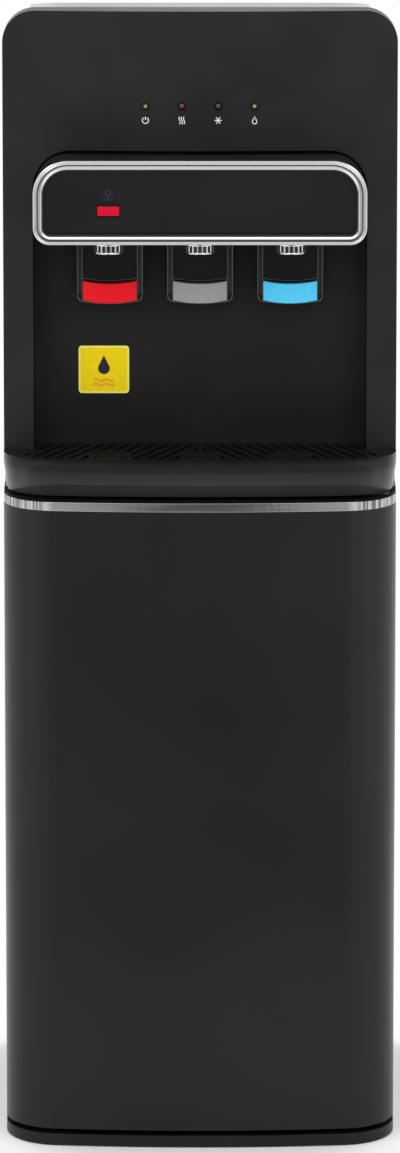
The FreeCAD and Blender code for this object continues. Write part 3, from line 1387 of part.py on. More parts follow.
def make_door_top_cap():
    """Top moulding of the door: a plate behind the bright band and a plug inside the skin."""
    body = new_body("door_top_cap")
    plate = OUTER.inside(size("trim_thickness"))
    radius = BACK_ROUND
    outline = [
        (-HALF + radius, DOOR_BACK, (radius, LEFT_TURN)),
        (-HALF, DOOR_BACK - radius, None),
        (-HALF, plate.side_y, None),
        (-plate.half, plate.side_y, (plate.corner, LEFT_TURN)),
        (-plate.bow_x, plate.bow_y, (plate.bow, LEFT_TURN)),
        (plate.bow_x, plate.bow_y, (plate.corner, LEFT_TURN)),
        (plate.half, plate.side_y, None),
        (HALF, plate.side_y, None),
        (HALF, DOOR_BACK - radius, (radius, LEFT_TURN)),
        (HALF - radius, DOOR_BACK, None),
    ]
    pad(body, "plate", "XY", TRIM_BOTTOM, DOOR_TOP, [outline])
    low = TRIM_BOTTOM - size("cap_thickness")
    pad(body, "plug", "XY", low, TRIM_BOTTOM, [cap_loop(OUTER.inside(size("door_skin_wall") + SEAM))])
    seat = circle_loop(HINGE_X, HINGE_Y, BUSH_RADIUS)
    pocket(body, "bush_seat", "XY", low - 1, DOOR_TOP + 1, [seat])
    return body


def make_door_trim():
    """Bright band round the top of the door."""
    body = new_body("door_trim")
    inner = OUTER.inside(size("trim_thickness"))
    pad(body, "band", "XY", TRIM_BOTTOM, DOOR_TOP, [bowed_strip(OUTER, inner)])
    return body


def make_hinge_bushes():
    """Two plastic bushes in the door: the lower one has the flange that carries the door."""
    body = new_body("hinge_bushes")
    bore = size("hinge_pin_diameter") / 2 + size("hinge_clearance")
    flange = BUSH_RADIUS + size("bush_flange")
    lower_end = PLINTH_TOP + SEAM
    upper = DOOR_BOTTOM + size("cap_thickness")
    spin(body, "lower_bush", [
        (bore, lower_end), (flange, lower_end), (flange, DOOR_BOTTOM), (BUSH_RADIUS, DOOR_BOTTOM),
        (BUSH_RADIUS, upper), (bore, upper),
    ])
    low = TRIM_BOTTOM - size("cap_thickness")
    spin(body, "upper_bush", [(bore, low), (BUSH_RADIUS, low), (BUSH_RADIUS, DOOR_TOP), (bore, DOOR_TOP)])
    move_to(body, x=HINGE_X, y=HINGE_Y)
    return body


def make_hinge_brackets():
    """Two steel hinge plates with riveted pins: one let into the base, one under the shelf."""
    body = new_body("hinge_brackets")
    thick = size("hinge_plate_thickness")
    reach = size("hinge_pin_length")
    pin = circle_loop(HINGE_X, HINGE_Y, size("hinge_pin_diameter") / 2)
    pad(body, "lower_plate", "XY", PLINTH_TOP - thick, PLINTH_TOP, [hinge_plate_loop(as_size(0))])
    pad(body, "lower_pin", "XY", PLINTH_TOP - thick, DOOR_BOTTOM + reach, [pin])
    pad(body, "upper_plate", "XY", SHELF_BOTTOM - thick, SHELF_BOTTOM, [hinge_plate_loop(as_size(0))])
    pad(body, "upper_pin", "XY", DOOR_TOP - reach, SHELF_BOTTOM, [pin])
    return body


def make_door_magnet():
    """Magnet in its holder on the cabinet's cross rail."""
    body = new_body("door_magnet")
    half = size("magnet_width") / 2
    middle = -(HALF - size("magnet_inset"))
    high = TRIM_BOTTOM - SEAM
    front = DOOR_BACK + size("strike_thickness") + SEAM
    outline = box_loop(middle - half, middle + half, high - size("magnet_height"), high)
    pad(body, "holder", "XZ", FRAME_FRONT + SHEET, front, [outline])
    return body


def make_strike_plate():
    body = new_body("strike_plate")
    half = size("magnet_width") / 2
    middle = -(HALF - size("magnet_inset"))
    high = TRIM_BOTTOM - SEAM
    outline = box_loop(middle - half, middle + half, high - size("magnet_height"), high)
    pad(body, "plate", "XZ", DOOR_BACK, DOOR_BACK + size("strike_thickness"), [outline])
    return body


def make_probe_holder():
    """Shelf on the back panel with an open slot that the probe hangs in."""
    body = new_body("probe_holder")
    x = PROBE_X
    half = size("holder_width") / 2
    front = PROBE_Y - size("holder_reach")
    high = PROBE_Z - SEAM
    low = high - size("holder_thickness")
    slot = size("probe_tube_radius") + SEAM * 2
    slot_y = PROBE_Y
    plan = [
        (x - half, PANEL_FRONT, None),
        (x - half, front, None),
        (x - slot, front, None),
        (x - slot, slot_y, (slot, RIGHT_TURN)),
        (x, slot_y + slot, (slot, RIGHT_TURN)),
        (x + slot, slot_y, None),
        (x + slot, front, None),
        (x + half - SHEET * 4, front, None),
        (x + half - SHEET * 4, PANEL_FRONT, None),
    ]
    pad(body, "arm", "XY", low, high, [plan])
    rib = [(slot_y + slot * 1.5, low), (PANEL_FRONT, low - size("holder_width") / 2), (PANEL_FRONT, low)]
    pad(body, "rib", "YZ", x - SHEET, x + SHEET, [lines_loop(rib)])
    return body


def make_bottle_probe():
    """Bottle probe: a cap for the bottle neck, the suction tube under it and the hose spout."""
    body = new_body("bottle_probe")
    tube = size("probe_tube_radius")
    cap = size("probe_cap_radius")
    tall = size("probe_cap_height")
    shoulder = size("holder_thickness")
    spout = (size("hose_diameter") + shoulder) / 2
    end = PLATFORM_TOP + size("probe_clearance") - PROBE_Z
    spin(body, "turned_probe", [
        (0, end), (tube / 2, end), (tube, end + tube), (tube, 0), (cap, 0), (cap, tall - shoulder),
        (cap - shoulder, tall), (spout, tall), (spout, tall + size("spout_length")),
        (0, tall + size("spout_length")),
    ])
    move_to(body, x=PROBE_X, y=PROBE_Y, z=PROBE_Z)
    return body


HOSE_START = PROBE_Z + size("probe_cap_height") + size("spout_length")
# Shares of the way from the spout to the wall, from the spout to the deck hole, and of the rise
HOSE_ROUTE = [
    (0, 0, 0.5),
    (0.3, 0.1, 0.92),
    (0.81, 0.26, 1),
    (1, 0.42, 0.61),
    (1, 0.49, -0.29),
    (1, 0.52, -1.27),
    (1, 0.6, -2.12),
    (1, 0.76, -2.57),
    (1, 0.91, -2.16),
    (1, 0.98, -1.27),
    (1, 1, -0.16),
]


def make_suction_hose():
    """Limp suction hose: up from the stowed probe, down along the right wall and up to the deck."""
    points = [vector(PROBE_X, PROBE_Y, HOSE_START)]
    for across, back, up in HOSE_ROUTE:
        x = PROBE_X + (HOSE_X - PROBE_X) * across
        y = PROBE_Y + (HOSE_Y - PROBE_Y) * back
        points.append(vector(x, y, HOSE_START + size("hose_rise") * up))
    points.append(vector(HOSE_X, HOSE_Y, DECK_TOP))
    tube = tube_along("suction_hose", points, size("hose_diameter").number / 2)
    return solid_feature("suction_hose", tube)


def make_tank_shelf():
    body = new_body("tank_shelf")
    high = TANK_SHELF_TOP
    front = ALCOVE_BACK + size("fascia_wall") + size("control_depth") + size("tank_shelf_gap")
    back = PANEL_FRONT - SHEET
    lip = size("deck_lip")
    fold = [
        (front, high), (front, high - lip), (front + SHEET, high - lip), (front + SHEET, high - SHEET),
        (back, high - SHEET), (back, high),
    ]
    pad(body, "folded_shelf", "YZ", -SIDE_INNER, SIDE_INNER, [lines_loop(fold)])
    return body


TANK_X = HALF - size("tank_inset")


def make_tank(name, x, radius, height):
    """Upright tank with a bevelled top."""
    body = new_body(name)
    dome = size("tank_dome")
    spin(body, "turned_tank", [(0, 0), (radius, 0), (radius, height - dome), (radius - dome, height), (0, height)])
    tank_y = PANEL_FRONT - size("tank_gap") - size("cold_tank_radius")
    move_to(body, x=x, y=tank_y, z=TANK_SHELF_TOP)
    return body


COMPRESSOR_X = HALF - size("compressor_inset")
COMPRESSOR_Y = PANEL_FRONT - size("compressor_gap") - size("compressor_plate_size") / 2


def make_compressor():
    """Sealed compressor: a domed can on a square foot plate."""
    body = new_body("compressor")
    half = size("compressor_plate_size") / 2
    thick = size("compressor_plate")
    radius = size("compressor_radius")
    tall = size("compressor_height")
    dome = radius / 2
    pad(body, "foot_plate", "XY", 0, thick, [box_loop(-half, half, -half, half)])
    spin(body, "can", [(0, thick), (radius, thick), (radius, tall - dome), (radius - dome, tall), (0, tall)])
    move_to(body, x=COMPRESSOR_X, y=COMPRESSOR_Y, z=SHELF_BOTTOM + size("mount_height"))
    return body


def make_compressor_mounts():
    """Four rubber mounts between the deck and the compressor's foot plate."""
    body = new_body("compressor_mounts")
    half = size("mount_width") / 2
    reach = size("compressor_plate_size") / 2 - half - size("compressor_plate")
    places = [(reach * x, reach * y) for x in (-1, 1) for y in (-1, 1)]
    feet = [box_loop(x - half, x + half, y - half, y + half) for x, y in places]
    pad(body, "mounts", "XY", 0, size("mount_height"), feet)
    move_to(body, x=COMPRESSOR_X, y=COMPRESSOR_Y, z=SHELF_BOTTOM)
    return body


def make_water_pump():
    """Diaphragm pump: foot plate, square pump head and a round motor behind it."""
    body = new_body("water_pump")
    wide = size("pump_width") / 2
    long = size("pump_length") / 2
    foot = size("pump_foot")
    high = foot + size("pump_height")
    motor_end = long + size("pump_motor_length")
    pad(body, "foot", "XY", 0, foot, [box_loop(-wide, wide, -long, motor_end)])
    inset = foot * 1.5
    head = round_box_loop(-wide + inset, wide - inset, -long, long, inset, inset)
    pad(body, "head", "XY", foot, high, [head])
    motor = circle_loop(0, foot + size("pump_height") / 2, size("pump_motor_radius"))
    pad(body, "motor", "XZ", long - 1, motor_end, [motor])
    cradle = size("pump_motor_radius") / 2
    saddle = box_loop(-cradle, cradle, long, motor_end - foot)
    pad(body, "saddle", "XY", foot, foot + size("pump_height") / 2, [saddle])
    move_to(body, x=-TANK_X, y=ALCOVE_BACK + size("pump_back"), z=SHELF_BOTTOM)
    return body


def make_control_box():
    """Control box on the back of the alcove wall."""
    body = new_body("control_box")
    half = size("control_width") / 2
    front = ALCOVE_BACK + size("fascia_wall")
    back = front + size("control_depth")
    low = SHELF_TOP + size("deck_lip")
    high = low + size("control_height")
    radius = size("fascia_wall")
    pad(body, "box", "XZ", front, back, [round_box_loop(-half, half, low, high, radius, radius)])
    rim = box_loop(-half - radius, half + radius, low + radius, high - radius)
    pad(body, "fixing_rim", "XZ", front, front + radius, [rim])
    return body


def quarter_arc(start, end, first, last):
    """A quarter turn between two points, from the directions of travel at its ends."""
    centre = start + last * (end - start).dot(last)
    radius = (end - start).dot(last)
    middle = centre + (first - last) * (radius * math.sqrt(0.5))
    return Part.Arc(start, middle, end).toShape()


def coil_path():
    """Centre line of the serpentine condenser, with both ends turned into the back panel."""
    y = COIL_Y.number
    half = COIL_HALF.number
    pitch = size("coil_pitch").number
    count = int(size("coil_passes").number)
    bend = size("coil_inlet_bend").number
    lead = half + pitch / 2
    low = COIL_LOW.number
    back = FreeCAD.Vector(0, 1, 0)
    along = FreeCAD.Vector(1, 0, 0)
    entry = FreeCAD.Vector(-lead, y - bend, low)
    place = FreeCAD.Vector(-lead + bend, y, low)
    edges = [Part.LineSegment(FreeCAD.Vector(-lead, PANEL_BACK.number, low), entry).toShape()]
    edges.append(quarter_arc(entry, place, back, along))
    side = 1
    for step in range(count - 1):
        z = low + step * pitch
        end = FreeCAD.Vector(side * half, y, z)
        after = FreeCAD.Vector(side * half, y, z + pitch)
        middle = FreeCAD.Vector(side * lead, y, z + pitch / 2)
        edges.append(Part.LineSegment(place, end).toShape())
        edges.append(Part.Arc(end, middle, after).toShape())
        place = after
        side = -side
    z = place.z
    end = FreeCAD.Vector(side * (lead - bend), y, z)
    way_out = FreeCAD.Vector(side * lead, y - bend, z)
    edges.append(Part.LineSegment(place, end).toShape())
    edges.append(quarter_arc(end, way_out, along * side, -back))
    edges.append(Part.LineSegment(way_out, FreeCAD.Vector(side * lead, PANEL_BACK.number, z)).toShape())
    return Part.Wire(edges)


WIRE_GAP = 0.05


def make_condenser():
    """Wire-on-tube condenser: one serpentine tube with upright wires on both of its sides."""
    path = coil_path()
    tube_size = size("coil_tube").number
    first = path.OrderedVertexes[0].Point
    tube = sweep_tube("condenser tube", path, first, FreeCAD.Vector(0, 1, 0), tube_size / 2)
    wire = size("wire_size").number
    pitch = size("wire_pitch").number
    count = int(2 * COIL_HALF.number / pitch)
    low = COIL_LOW.number - tube_size * 2
    tall = (size("coil_passes").number - 1) * size("coil_pitch").number + tube_size * 4
    reach = tube_size / 2 + WIRE_GAP
    wires = []
    for number in range(count):
        x = (number - (count - 1) / 2) * pitch - wire / 2
        for y in (COIL_Y.number - reach - wire, COIL_Y.number + reach):
            wires.append(Part.makeBox(wire, wire, tall, FreeCAD.Vector(x, y, low)))
    return solid_feature("condenser", Part.makeCompound([tube] + wires))


def make_condenser_mounts():
    """Moulded mounts on the back panels: four clips under the condenser's bends, two wall spacers."""
    body = new_body("condenser_mounts")
    half = size("spacer_width") / 2
    tall = size("spacer_height") / 2
    lift = SIDE_TOP - size("spacer_drop")
    blocks = []
    for side in (-1, 1):
        middle = (HALF - size("spacer_inset")) * side
        blocks.append(box_loop(middle - half, middle + half, lift - tall, lift + tall))
    pad(body, "spacers", "XZ", PANEL_BACK, REAR, blocks)
    pitch = size("coil_pitch")
    reach = COIL_HALF + pitch / 2
    clip_half = size("clip_width") / 2
    clip_tall = size("clip_height") / 2
    last = size("coil_passes") - 2
    clips = []
    for side, steps in ((1, as_size(0)), (1, last - 1), (-1, as_size(1)), (-1, last)):
        x = reach * side
        z = COIL_LOW + pitch * (steps + 0.5)
        clips.append(box_loop(x - clip_half, x + clip_half, z - clip_tall, z + clip_tall))
    pad(body, "clips", "XZ", PANEL_BACK, COIL_Y, clips)
    slack = size("coil_tube") / 2 + size("clip_slack")
    seat = COIL_Y - size("coil_tube") / 2 - SEAM / 3
    notches = [box_loop(reach * side - slack, reach * side + slack, seat, COIL_Y + SEAM) for side in (-1, 1)]
    pocket(body, "tube_notches", "XY", COIL_LOW, COIL_LOW + pitch * size("coil_passes"), notches)
    return body


def make_switch_frame():
    """Frame of the two rocker switches in the back panel."""
    body = new_body("switch_frame")
    half = size("switch_width") / 2
    tall = size("switch_height") / 2
    lip = size("switch_lip")
    middle = SWITCH_X
    lift = SWITCH_Z
    flange = box_loop(middle - half, middle + half, lift - tall, lift + tall)
    pad(body, "flange", "XZ", PANEL_BACK, PANEL_BACK + lip, [flange])
    inner_half = half - lip - SEAM
    inner_tall = tall - lip - SEAM
    barrel = box_loop(middle - inner_half, middle + inner_half, lift - inner_tall, lift + inner_tall)
    back = PANEL_BACK - size("switch_frame_depth")
    pad(body, "barrel", "XZ", back, PANEL_BACK, [barrel])
    wide = size("rocker_width") / 2 + size("rocker_gap")
    high = size("rocker_height") / 2 + size("rocker_gap")
    windows = []
    for side in (-1, 1):
        x = middle + size("rocker_spacing") * side / 2
        windows.append(box_loop(x - wide, x + wide, lift - high, lift + high))
    pocket(body, "windows", "XZ", PANEL_BACK + lip, back + lip, windows)
    bore = circle_loop(PANEL_BACK - lip / 2, lift, size("rocker_pin_diameter") / 2 + size("rocker_clearance"))
    pin_reach = (size("rocker_spacing") + size("rocker_width")) / 2 + size("rocker_pin_length") + SEAM
    pocket(body, "pin_bores", "YZ", middle - pin_reach, middle + pin_reach, [bore])
    return body


def make_rocker(name, side):
    """Rocker: a shallow V face over a round pivot, tilted to its off side."""
    body = new_body(name)
    wide = size("rocker_width") / 2
    high = size("rocker_height") / 2
    thick = size("rocker_thickness")
    profile = [
        (-thick * 0.7, -high / 2), (-thick / 2, -high), (thick / 2, -high), (thick / 3, 0), (thick / 2, high),
        (-thick / 2, high), (-thick * 0.7, high / 2),
    ]
    pad(body, "key", "YZ", -wide, wide, [lines_loop(profile)])
    reach = wide + size("rocker_pin_length")
    pad(body, "pins", "YZ", -reach, reach, [circle_loop(0, 0, size("rocker_pin_diameter") / 2)])
    x = SWITCH_X + size("rocker_spacing") * side / 2
    move_to(body, x=x, y=PANEL_BACK - size("switch_lip") / 2, z=SWITCH_Z)
    body.Placement.Rotation = FreeCAD.Rotation(FreeCAD.Vector(1, 0, 0), size("rocker_angle").number)
    return body


def make_power_inlet():
    """Gland that the power lead would pass through."""
    body = new_body("power_inlet")
    radius = size("inlet_radius")
    bore = size("inlet_bore") / 2
    x = INLET_X
    z = size("inlet_lift")
    lip = size("switch_lip")
    pad(body, "flange", "XZ", PANEL_BACK, PANEL_BACK + lip * 1.5, [circle_loop(x, z, radius)])
    pad(body, "neck", "XZ", PANEL_FRONT - lip, PANEL_BACK, [circle_loop(x, z, size("inlet_bore") - SEAM)])
    pad(body, "nose", "XZ", PANEL_BACK + lip, PANEL_BACK + radius, [circle_loop(x, z, size("inlet_bore") - lip / 2)])
    pocket(body, "bore", "XZ", PANEL_FRONT - lip - 1, PANEL_BACK + radius + 1, [circle_loop(x, z, bore)])
    return body


def make_drain_outlet():
    """Drain outlet of the tanks with its screw cap."""
    body = new_body("drain_outlet")
    radius = size("drain_radius")
    long = size("drain_length")
    lip = size("switch_lip")
    profile = [(0, 0), (radius, 0), (radius, long - lip), (radius - lip, long), (0, long)]
    spin(body, "turned_cap", profile)
    body.Placement.Rotation = FreeCAD.Rotation(FreeCAD.Vector(1, 0, 0), -90)
    move_to(body, x=size("drain_inset") - HALF, y=PANEL_BACK, z=size("drain_lift"))
    return body


def build_all():
    parts = [make_base_plinth(), make_foot_pads()]
    parts += [make_side_panel("side_panel_left", -1), make_side_panel("side_panel_right", 1)]
    parts += list(make_rear_panels())
    parts += [make_mid_deck(), make_drip_shelf(), make_drip_tray(), make_drip_grille()]
    parts += [make_fascia_frame(), make_led_lenses(), make_led_board(), make_alcove_panel(), make_top_cover()]
    parts += [make_pod_shell(), make_chrome_ring(), make_pod_face(), make_lock_button(), make_lock_switch_case()]
    for name, place in TAPS.items():
        parts.append(make_tap_body(f"tap_body_{name}", place))
        parts.append(make_nozzle(f"nozzle_{name}", place))
        parts.append(make_lever(f"lever_{name}", place))
        parts.append(make_lever_pad(f"lever_pad_{name}", place))
    parts.append(make_lever_pins())
    parts += [make_door_skin(), make_door_liner(), make_door_top_cap(), make_door_bottom_cap(), make_door_trim()]
    parts += [make_hinge_bushes(), make_hinge_brackets()]
    parts += [make_door_magnet(), make_strike_plate(), make_probe_holder(), make_bottle_probe(), make_suction_hose()]
    parts += [make_tank_shelf()]
    parts.append(make_tank("cold_tank", TANK_X, size("cold_tank_radius"), size("cold_tank_height")))
    parts.append(make_tank("hot_tank", -TANK_X, size("hot_tank_radius"), size("hot_tank_height")))
    parts += [make_compressor(), make_compressor_mounts(), make_water_pump(), make_control_box()]
    parts += [make_condenser(), make_condenser_mounts(), make_switch_frame()]
    parts += [make_rocker("rocker_hot", -1), make_rocker("rocker_cold", 1)]
    parts += [make_power_inlet(), make_drain_outlet()]
    return parts


def check_features(parts):
    """Every object has to be sound, every cut has to cut, and every piece has to be a valid solid."""
    for thing in doc.Objects:
        bad = [state for state in thing.State if state in ("Invalid", "Error")]
        if bad:
            raise RuntimeError(f"{thing.Label} is {bad}")
    for body in doc.findObjects("PartDesign::Body"):
        before = 0.0
        for feature in body.Group:
            if not feature.isDerivedFrom("PartDesign::Feature"):
                continue
            volume = feature.Shape.Volume
            if feature.isDerivedFrom("PartDesign::Pocket") and volume >= before - 1e-6:
                raise RuntimeError(f"{body.Label} {feature.Label} cuts nothing")
            before = volume
    for part in parts:
        if part.Shape.isNull() or not part.Shape.isValid() or not part.Shape.Solids:
            raise RuntimeError(f"{part.Label} has no valid solid")


def write_parts(parts):
    os.makedirs("parts", exist_ok=True)
    for part in parts:
        part.Shape.exportStep(os.path.join("parts", part.Label + ".step"))


PARTS = build_all()
doc.recompute()
check_features(PARTS)
write_parts(PARTS)
print(f"{len(PARTS)} pieces written")
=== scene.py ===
# %% [markdown]
# # A bottom-loading water dispenser
#
# The shapes of this machine come from a CAD model. Blender adds what CAD leaves out: the finish of
# each surface, the light, and the small things that are printed, screwed on or limp.
# Lengths are in metres, or in millimetres where MM or in_mm turns them into metres. +Z is up, and
# the front of the machine faces -Y.

# %% Open the CAD frame
import math

import bmesh
import bpy
from mathutils import Matrix, Vector


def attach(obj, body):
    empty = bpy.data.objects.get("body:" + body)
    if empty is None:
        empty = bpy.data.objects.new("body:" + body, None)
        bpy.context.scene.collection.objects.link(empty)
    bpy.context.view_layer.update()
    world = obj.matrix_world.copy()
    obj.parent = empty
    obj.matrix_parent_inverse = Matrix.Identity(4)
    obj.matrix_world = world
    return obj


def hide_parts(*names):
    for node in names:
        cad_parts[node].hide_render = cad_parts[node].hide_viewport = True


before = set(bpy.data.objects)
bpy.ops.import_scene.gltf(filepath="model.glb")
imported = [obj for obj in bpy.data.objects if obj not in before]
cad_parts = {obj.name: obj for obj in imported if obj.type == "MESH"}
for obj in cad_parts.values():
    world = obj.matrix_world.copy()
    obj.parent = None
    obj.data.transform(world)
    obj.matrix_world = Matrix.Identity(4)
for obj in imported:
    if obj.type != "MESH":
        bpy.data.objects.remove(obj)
for leftover in ("Cube", "Camera", "Light"):
    if leftover in bpy.data.objects:
        bpy.data.objects.remove(bpy.data.objects[leftover])
bpy.context.view_layer.update()
MM = 0.001

# %% [markdown]
# The photograph was taken from about four and a half metres away, a little above the machine, with
# a long lens, so upright edges stay nearly parallel. The picture is cropped below the lens axis:
# `shift_y` slides the frame down without tilting the camera further, as a view camera does.
# The lens length follows from the focal length in pixels over the picture's height.

# %% Camera
PICTURE_HEIGHT = 1153
FOCAL_PIXELS = 5396
EYE = Vector((0.0, -4.780, 1.450))
TILT_DOWN = math.radians(7.847)
FRAME_SHIFT = -0.3
SENSOR_MM = 36

camera_data = bpy.data.cameras.new("Studio camera")
camera_data.sensor_width = SENSOR_MM
camera_data.lens = FOCAL_PIXELS * SENSOR_MM / PICTURE_HEIGHT
camera_data.shift_y = FRAME_SHIFT
camera_data.clip_end = 50
camera = bpy.data.objects.new("Studio camera", camera_data)
camera.location = EYE
camera.rotation_euler = (math.pi / 2 - TILT_DOWN, 0, 0)
bpy.context.scene.collection.objects.link(camera)
bpy.context.scene.camera = camera
print("lens", round(camera_data.lens, 1), "mm")

# %% [markdown]
# ## Tools for pieces
#
# A new piece is a mesh that is written into `bmesh`, because then every edge is known and nothing
# depends on what is selected. Each piece rides on the body that carries it, so that it moves with the
# door or a lever, and it carries the one material that it is given.

# %% A piece from a bmesh
SHARP_ANGLE = math.radians(35)


def add_piece(name, shape, material, body, smooth=True):
    """Turns a bmesh into a shown piece that rides on a body."""
    mesh = bpy.data.meshes.new(name)
    bmesh.ops.recalc_face_normals(shape, faces=shape.faces)
    shape.to_mesh(mesh)
    shape.free()
    for face in mesh.polygons:
        face.use_smooth = smooth
    mesh.materials.append(material)
    piece = bpy.data.objects.new(name, mesh)
    bpy.context.scene.collection.objects.link(piece)
    if smooth:
        mesh.set_sharp_from_angle(angle=SHARP_ANGLE)
    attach(piece, body)
    return piece


print("edges are sharp from", round(math.degrees(SHARP_ANGLE)), "degrees")

# %% [markdown]
# Two basic shapes cover most of the small pieces. A box is a scaled cube. A turned piece is what a
# lathe makes: a profile of radii and heights, repeated round an axis and joined by faces.

# %% Box and turned piece
def in_mm(pairs):
    """Pairs of millimetres as pairs of metres."""
    return [(first * MM, second * MM) for first, second in pairs]


def add_box(shape, low, high):
    """One box between two corners."""
    middle = (Vector(low) + Vector(high)) / 2
    size = Vector(high) - Vector(low)
    place = Matrix.Translation(middle) @ Matrix.Diagonal((*size, 1))
    return bmesh.ops.create_cube(shape, size=1, matrix=place)["verts"]


def add_turned(shape, profile, place, steps=32):
    """A profile of (radius, height) pairs turned about the Z axis of `place`."""
    rings = []
    for radius, height in profile:
        count = 1 if radius < 1e-7 else steps
        ring = []
        for number in range(count):
            angle = 2 * math.pi * number / steps
            point = Vector((radius * math.cos(angle), radius * math.sin(angle), height))
            ring.append(shape.verts.new(place @ point))
        rings.append(ring)
    for first, second in zip(rings, rings[1:]):
        for number in range(steps):
            after = (number + 1) % steps
            corners = []
            for ring, index in ((first, number), (first, after), (second, after), (second, number)):
                vertex = ring[index % len(ring)]
                if vertex not in corners:
                    corners.append(vertex)
            if len(corners) > 2:
                shape.faces.new(corners)
    for ring in (rings[0], rings[-1]):
        if len(ring) > 2:
            shape.faces.new(ring)


FACING_FRONT = Matrix.Rotation(math.pi / 2, 4, "X")
FACING_BACK = Matrix.Rotation(-math.pi / 2, 4, "X")
print("piece tools ready")

# %% [markdown]
# ## The limp suction hose
#
# Behind the door a soft hose runs from the bottle probe to the pump above the deck. A real hose
# keeps its length and bends smoothly, so it is one NURBS curve: its control points pull the line
# without the line passing through them, which gives the soft bends. The points are the route that
# the CAD tube takes. The curve's bevel gives it the round section.

# %% Suction hose route
HOSE_DIAMETER = 9 * MM
HOSE_ROUTE = [
    (0.1300, 0.1140, 0.5080),
    (0.1300, 0.1140, 0.5325),
    (0.1381, 0.0958, 0.5531),
    (0.1519, 0.0667, 0.5570),
    (0.1570, 0.0376, 0.5379),
    (0.1570, 0.0248, 0.4938),
    (0.1570, 0.0194, 0.4458),
    (0.1570, 0.0048, 0.4041),
    (0.1570, -0.0243, 0.3821),
    (0.1570, -0.0516, 0.4022),
    (0.1570, -0.0644, 0.4458),
    (0.1570, -0.0680, 0.5002),
    (0.1570, -0.0680, 0.5802),
]


def smooth_line(name, points, diameter):
    """A limp line: one open NURBS spline with a round section."""
    curve = bpy.data.curves.new(name, "CURVE")
    curve.dimensions = "3D"
    curve.bevel_depth = diameter / 2
    curve.bevel_resolution = 6
    curve.resolution_u = 12
    curve.use_fill_caps = True
    spline = curve.splines.new("NURBS")
    spline.points.add(len(points) - 1)
    for control, place in zip(spline.points, points):
        control.co = (*place, 1.0)
    spline.order_u = 3
    spline.use_endpoint_u = True
    line = bpy.data.objects.new(name, curve)
    bpy.context.scene.collection.objects.link(line)
    return line


hose = smooth_line("limp_suction_hose", HOSE_ROUTE, HOSE_DIAMETER)
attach(hose, "cabinet")
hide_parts("suction_hose")
print("hose points:", len(HOSE_ROUTE))

# %% [markdown]
# ## Finishes
#
# Nearly everything here is black, so what tells one part from the next is how it scatters light:
# its roughness, its grain, and how much a low viewing angle brightens it. Each finish is a
# Principled shader. What is the same all over is typed into its sockets, and what varies comes from
# noise or from a place in object space, whose unit is the real metre.

# %% Node tools
def link(tree, source, target):
    """Joins one node's socket to another's."""
    tree.links.new(source, target)


def add_range(tree, source, low, high, first=0.0, second=1.0, smooth=False):
    """Turns a number that runs from low to high into one that runs from first to second."""
    node = tree.nodes.new("ShaderNodeMapRange")
    if smooth:
        node.interpolation_type = "SMOOTHSTEP"
    limits = {"From Min": low, "From Max": high, "To Min": first, "To Max": second}
    for socket, value in limits.items():
        node.inputs[socket].default_value = value
    link(tree, source, node.inputs["Value"])
    return node.outputs["Result"]


def add_math(tree, operation, *sources):
    """A sum, product or the like of one or two numbers."""
    node = tree.nodes.new("ShaderNodeMath")
    node.operation = operation
    for source, target in zip(sources, node.inputs):
        link(tree, source, target)
    return node.outputs["Value"]


def add_ramp(tree, source, low, first, high, second):
    """A colour that runs from first at low to second at high."""
    node = tree.nodes.new("ShaderNodeValToRGB")
    stops = ((low, first), (high, second))
    for element, (position, colour) in zip(node.color_ramp.elements, stops):
        element.position = position
        element.color = (*colour, 1.0)
    link(tree, source, node.inputs["Fac"])
    return node.outputs["Color"]


def object_axis(tree, axis):
    """How far along one axis a point lies, in metres."""
    place = tree.nodes.new("ShaderNodeTexCoord")
    split = tree.nodes.new("ShaderNodeSeparateXYZ")
    link(tree, place.outputs["Object"], split.inputs[0])
    return split.outputs[axis]


print("node tools ready")

# %% [markdown]
# On these stand the tools that the finishes share: noise of a real size, bumps of a real depth,
# patches that are a little more or less glossy, and a soft change of colour.

# %% Finish tools
def new_finish(name, colour, roughness, metallic=0.0):
    """A Principled material with its plain values in the shader's own sockets."""
    material = bpy.data.materials.new(name)
    material.use_nodes = True
    shader = material.node_tree.nodes["Principled BSDF"]
    shader.inputs["Base Color"].default_value = (*colour, 1.0)
    shader.inputs["Roughness"].default_value = roughness
    shader.inputs["Metallic"].default_value = metallic
    return material, shader


def add_noise(material, feature, detail=3.0, stretch=(1, 1, 1)):
    """Noise whose features are about `feature` metres wide, stretched along one axis if asked."""
    nodes = material.node_tree.nodes
    links = material.node_tree.links
    place = nodes.new("ShaderNodeTexCoord")
    scale = nodes.new("ShaderNodeMapping")
    scale.inputs["Scale"].default_value = stretch
    noise = nodes.new("ShaderNodeTexNoise")
    noise.inputs["Scale"].default_value = 1 / feature
    noise.inputs["Detail"].default_value = detail
    links.new(place.outputs["Object"], scale.inputs["Vector"])
    links.new(scale.outputs["Vector"], noise.inputs["Vector"])
    return noise


def grain(material, shader, feature, depth, detail=3.0, stretch=(1, 1, 1)):
    """Bumps of a real depth on top of what the shader already has."""
    noise = add_noise(material, feature, detail, stretch)
    bump = material.node_tree.nodes.new("ShaderNodeBump")
    bump.inputs["Strength"].default_value = 1.0
    bump.inputs["Distance"].default_value = depth
    links = material.node_tree.links
    links.new(noise.outputs["Fac"], bump.inputs["Height"])
    if shader.inputs["Normal"].is_linked:
        links.new(shader.inputs["Normal"].links[0].from_socket, bump.inputs["Normal"])
    links.new(bump.outputs["Normal"], shader.inputs["Normal"])


def vary_roughness(material, shader, low, high, feature, stretch=(1, 1, 1)):
    """Patches that are a little more or less glossy, as handling and moulding leave them."""
    tree = material.node_tree
    noise = add_noise(material, feature, 4.0, stretch)
    spread = add_range(tree, noise.outputs["Fac"], 0.3, 0.7, low, high)
    link(tree, spread, shader.inputs["Roughness"])


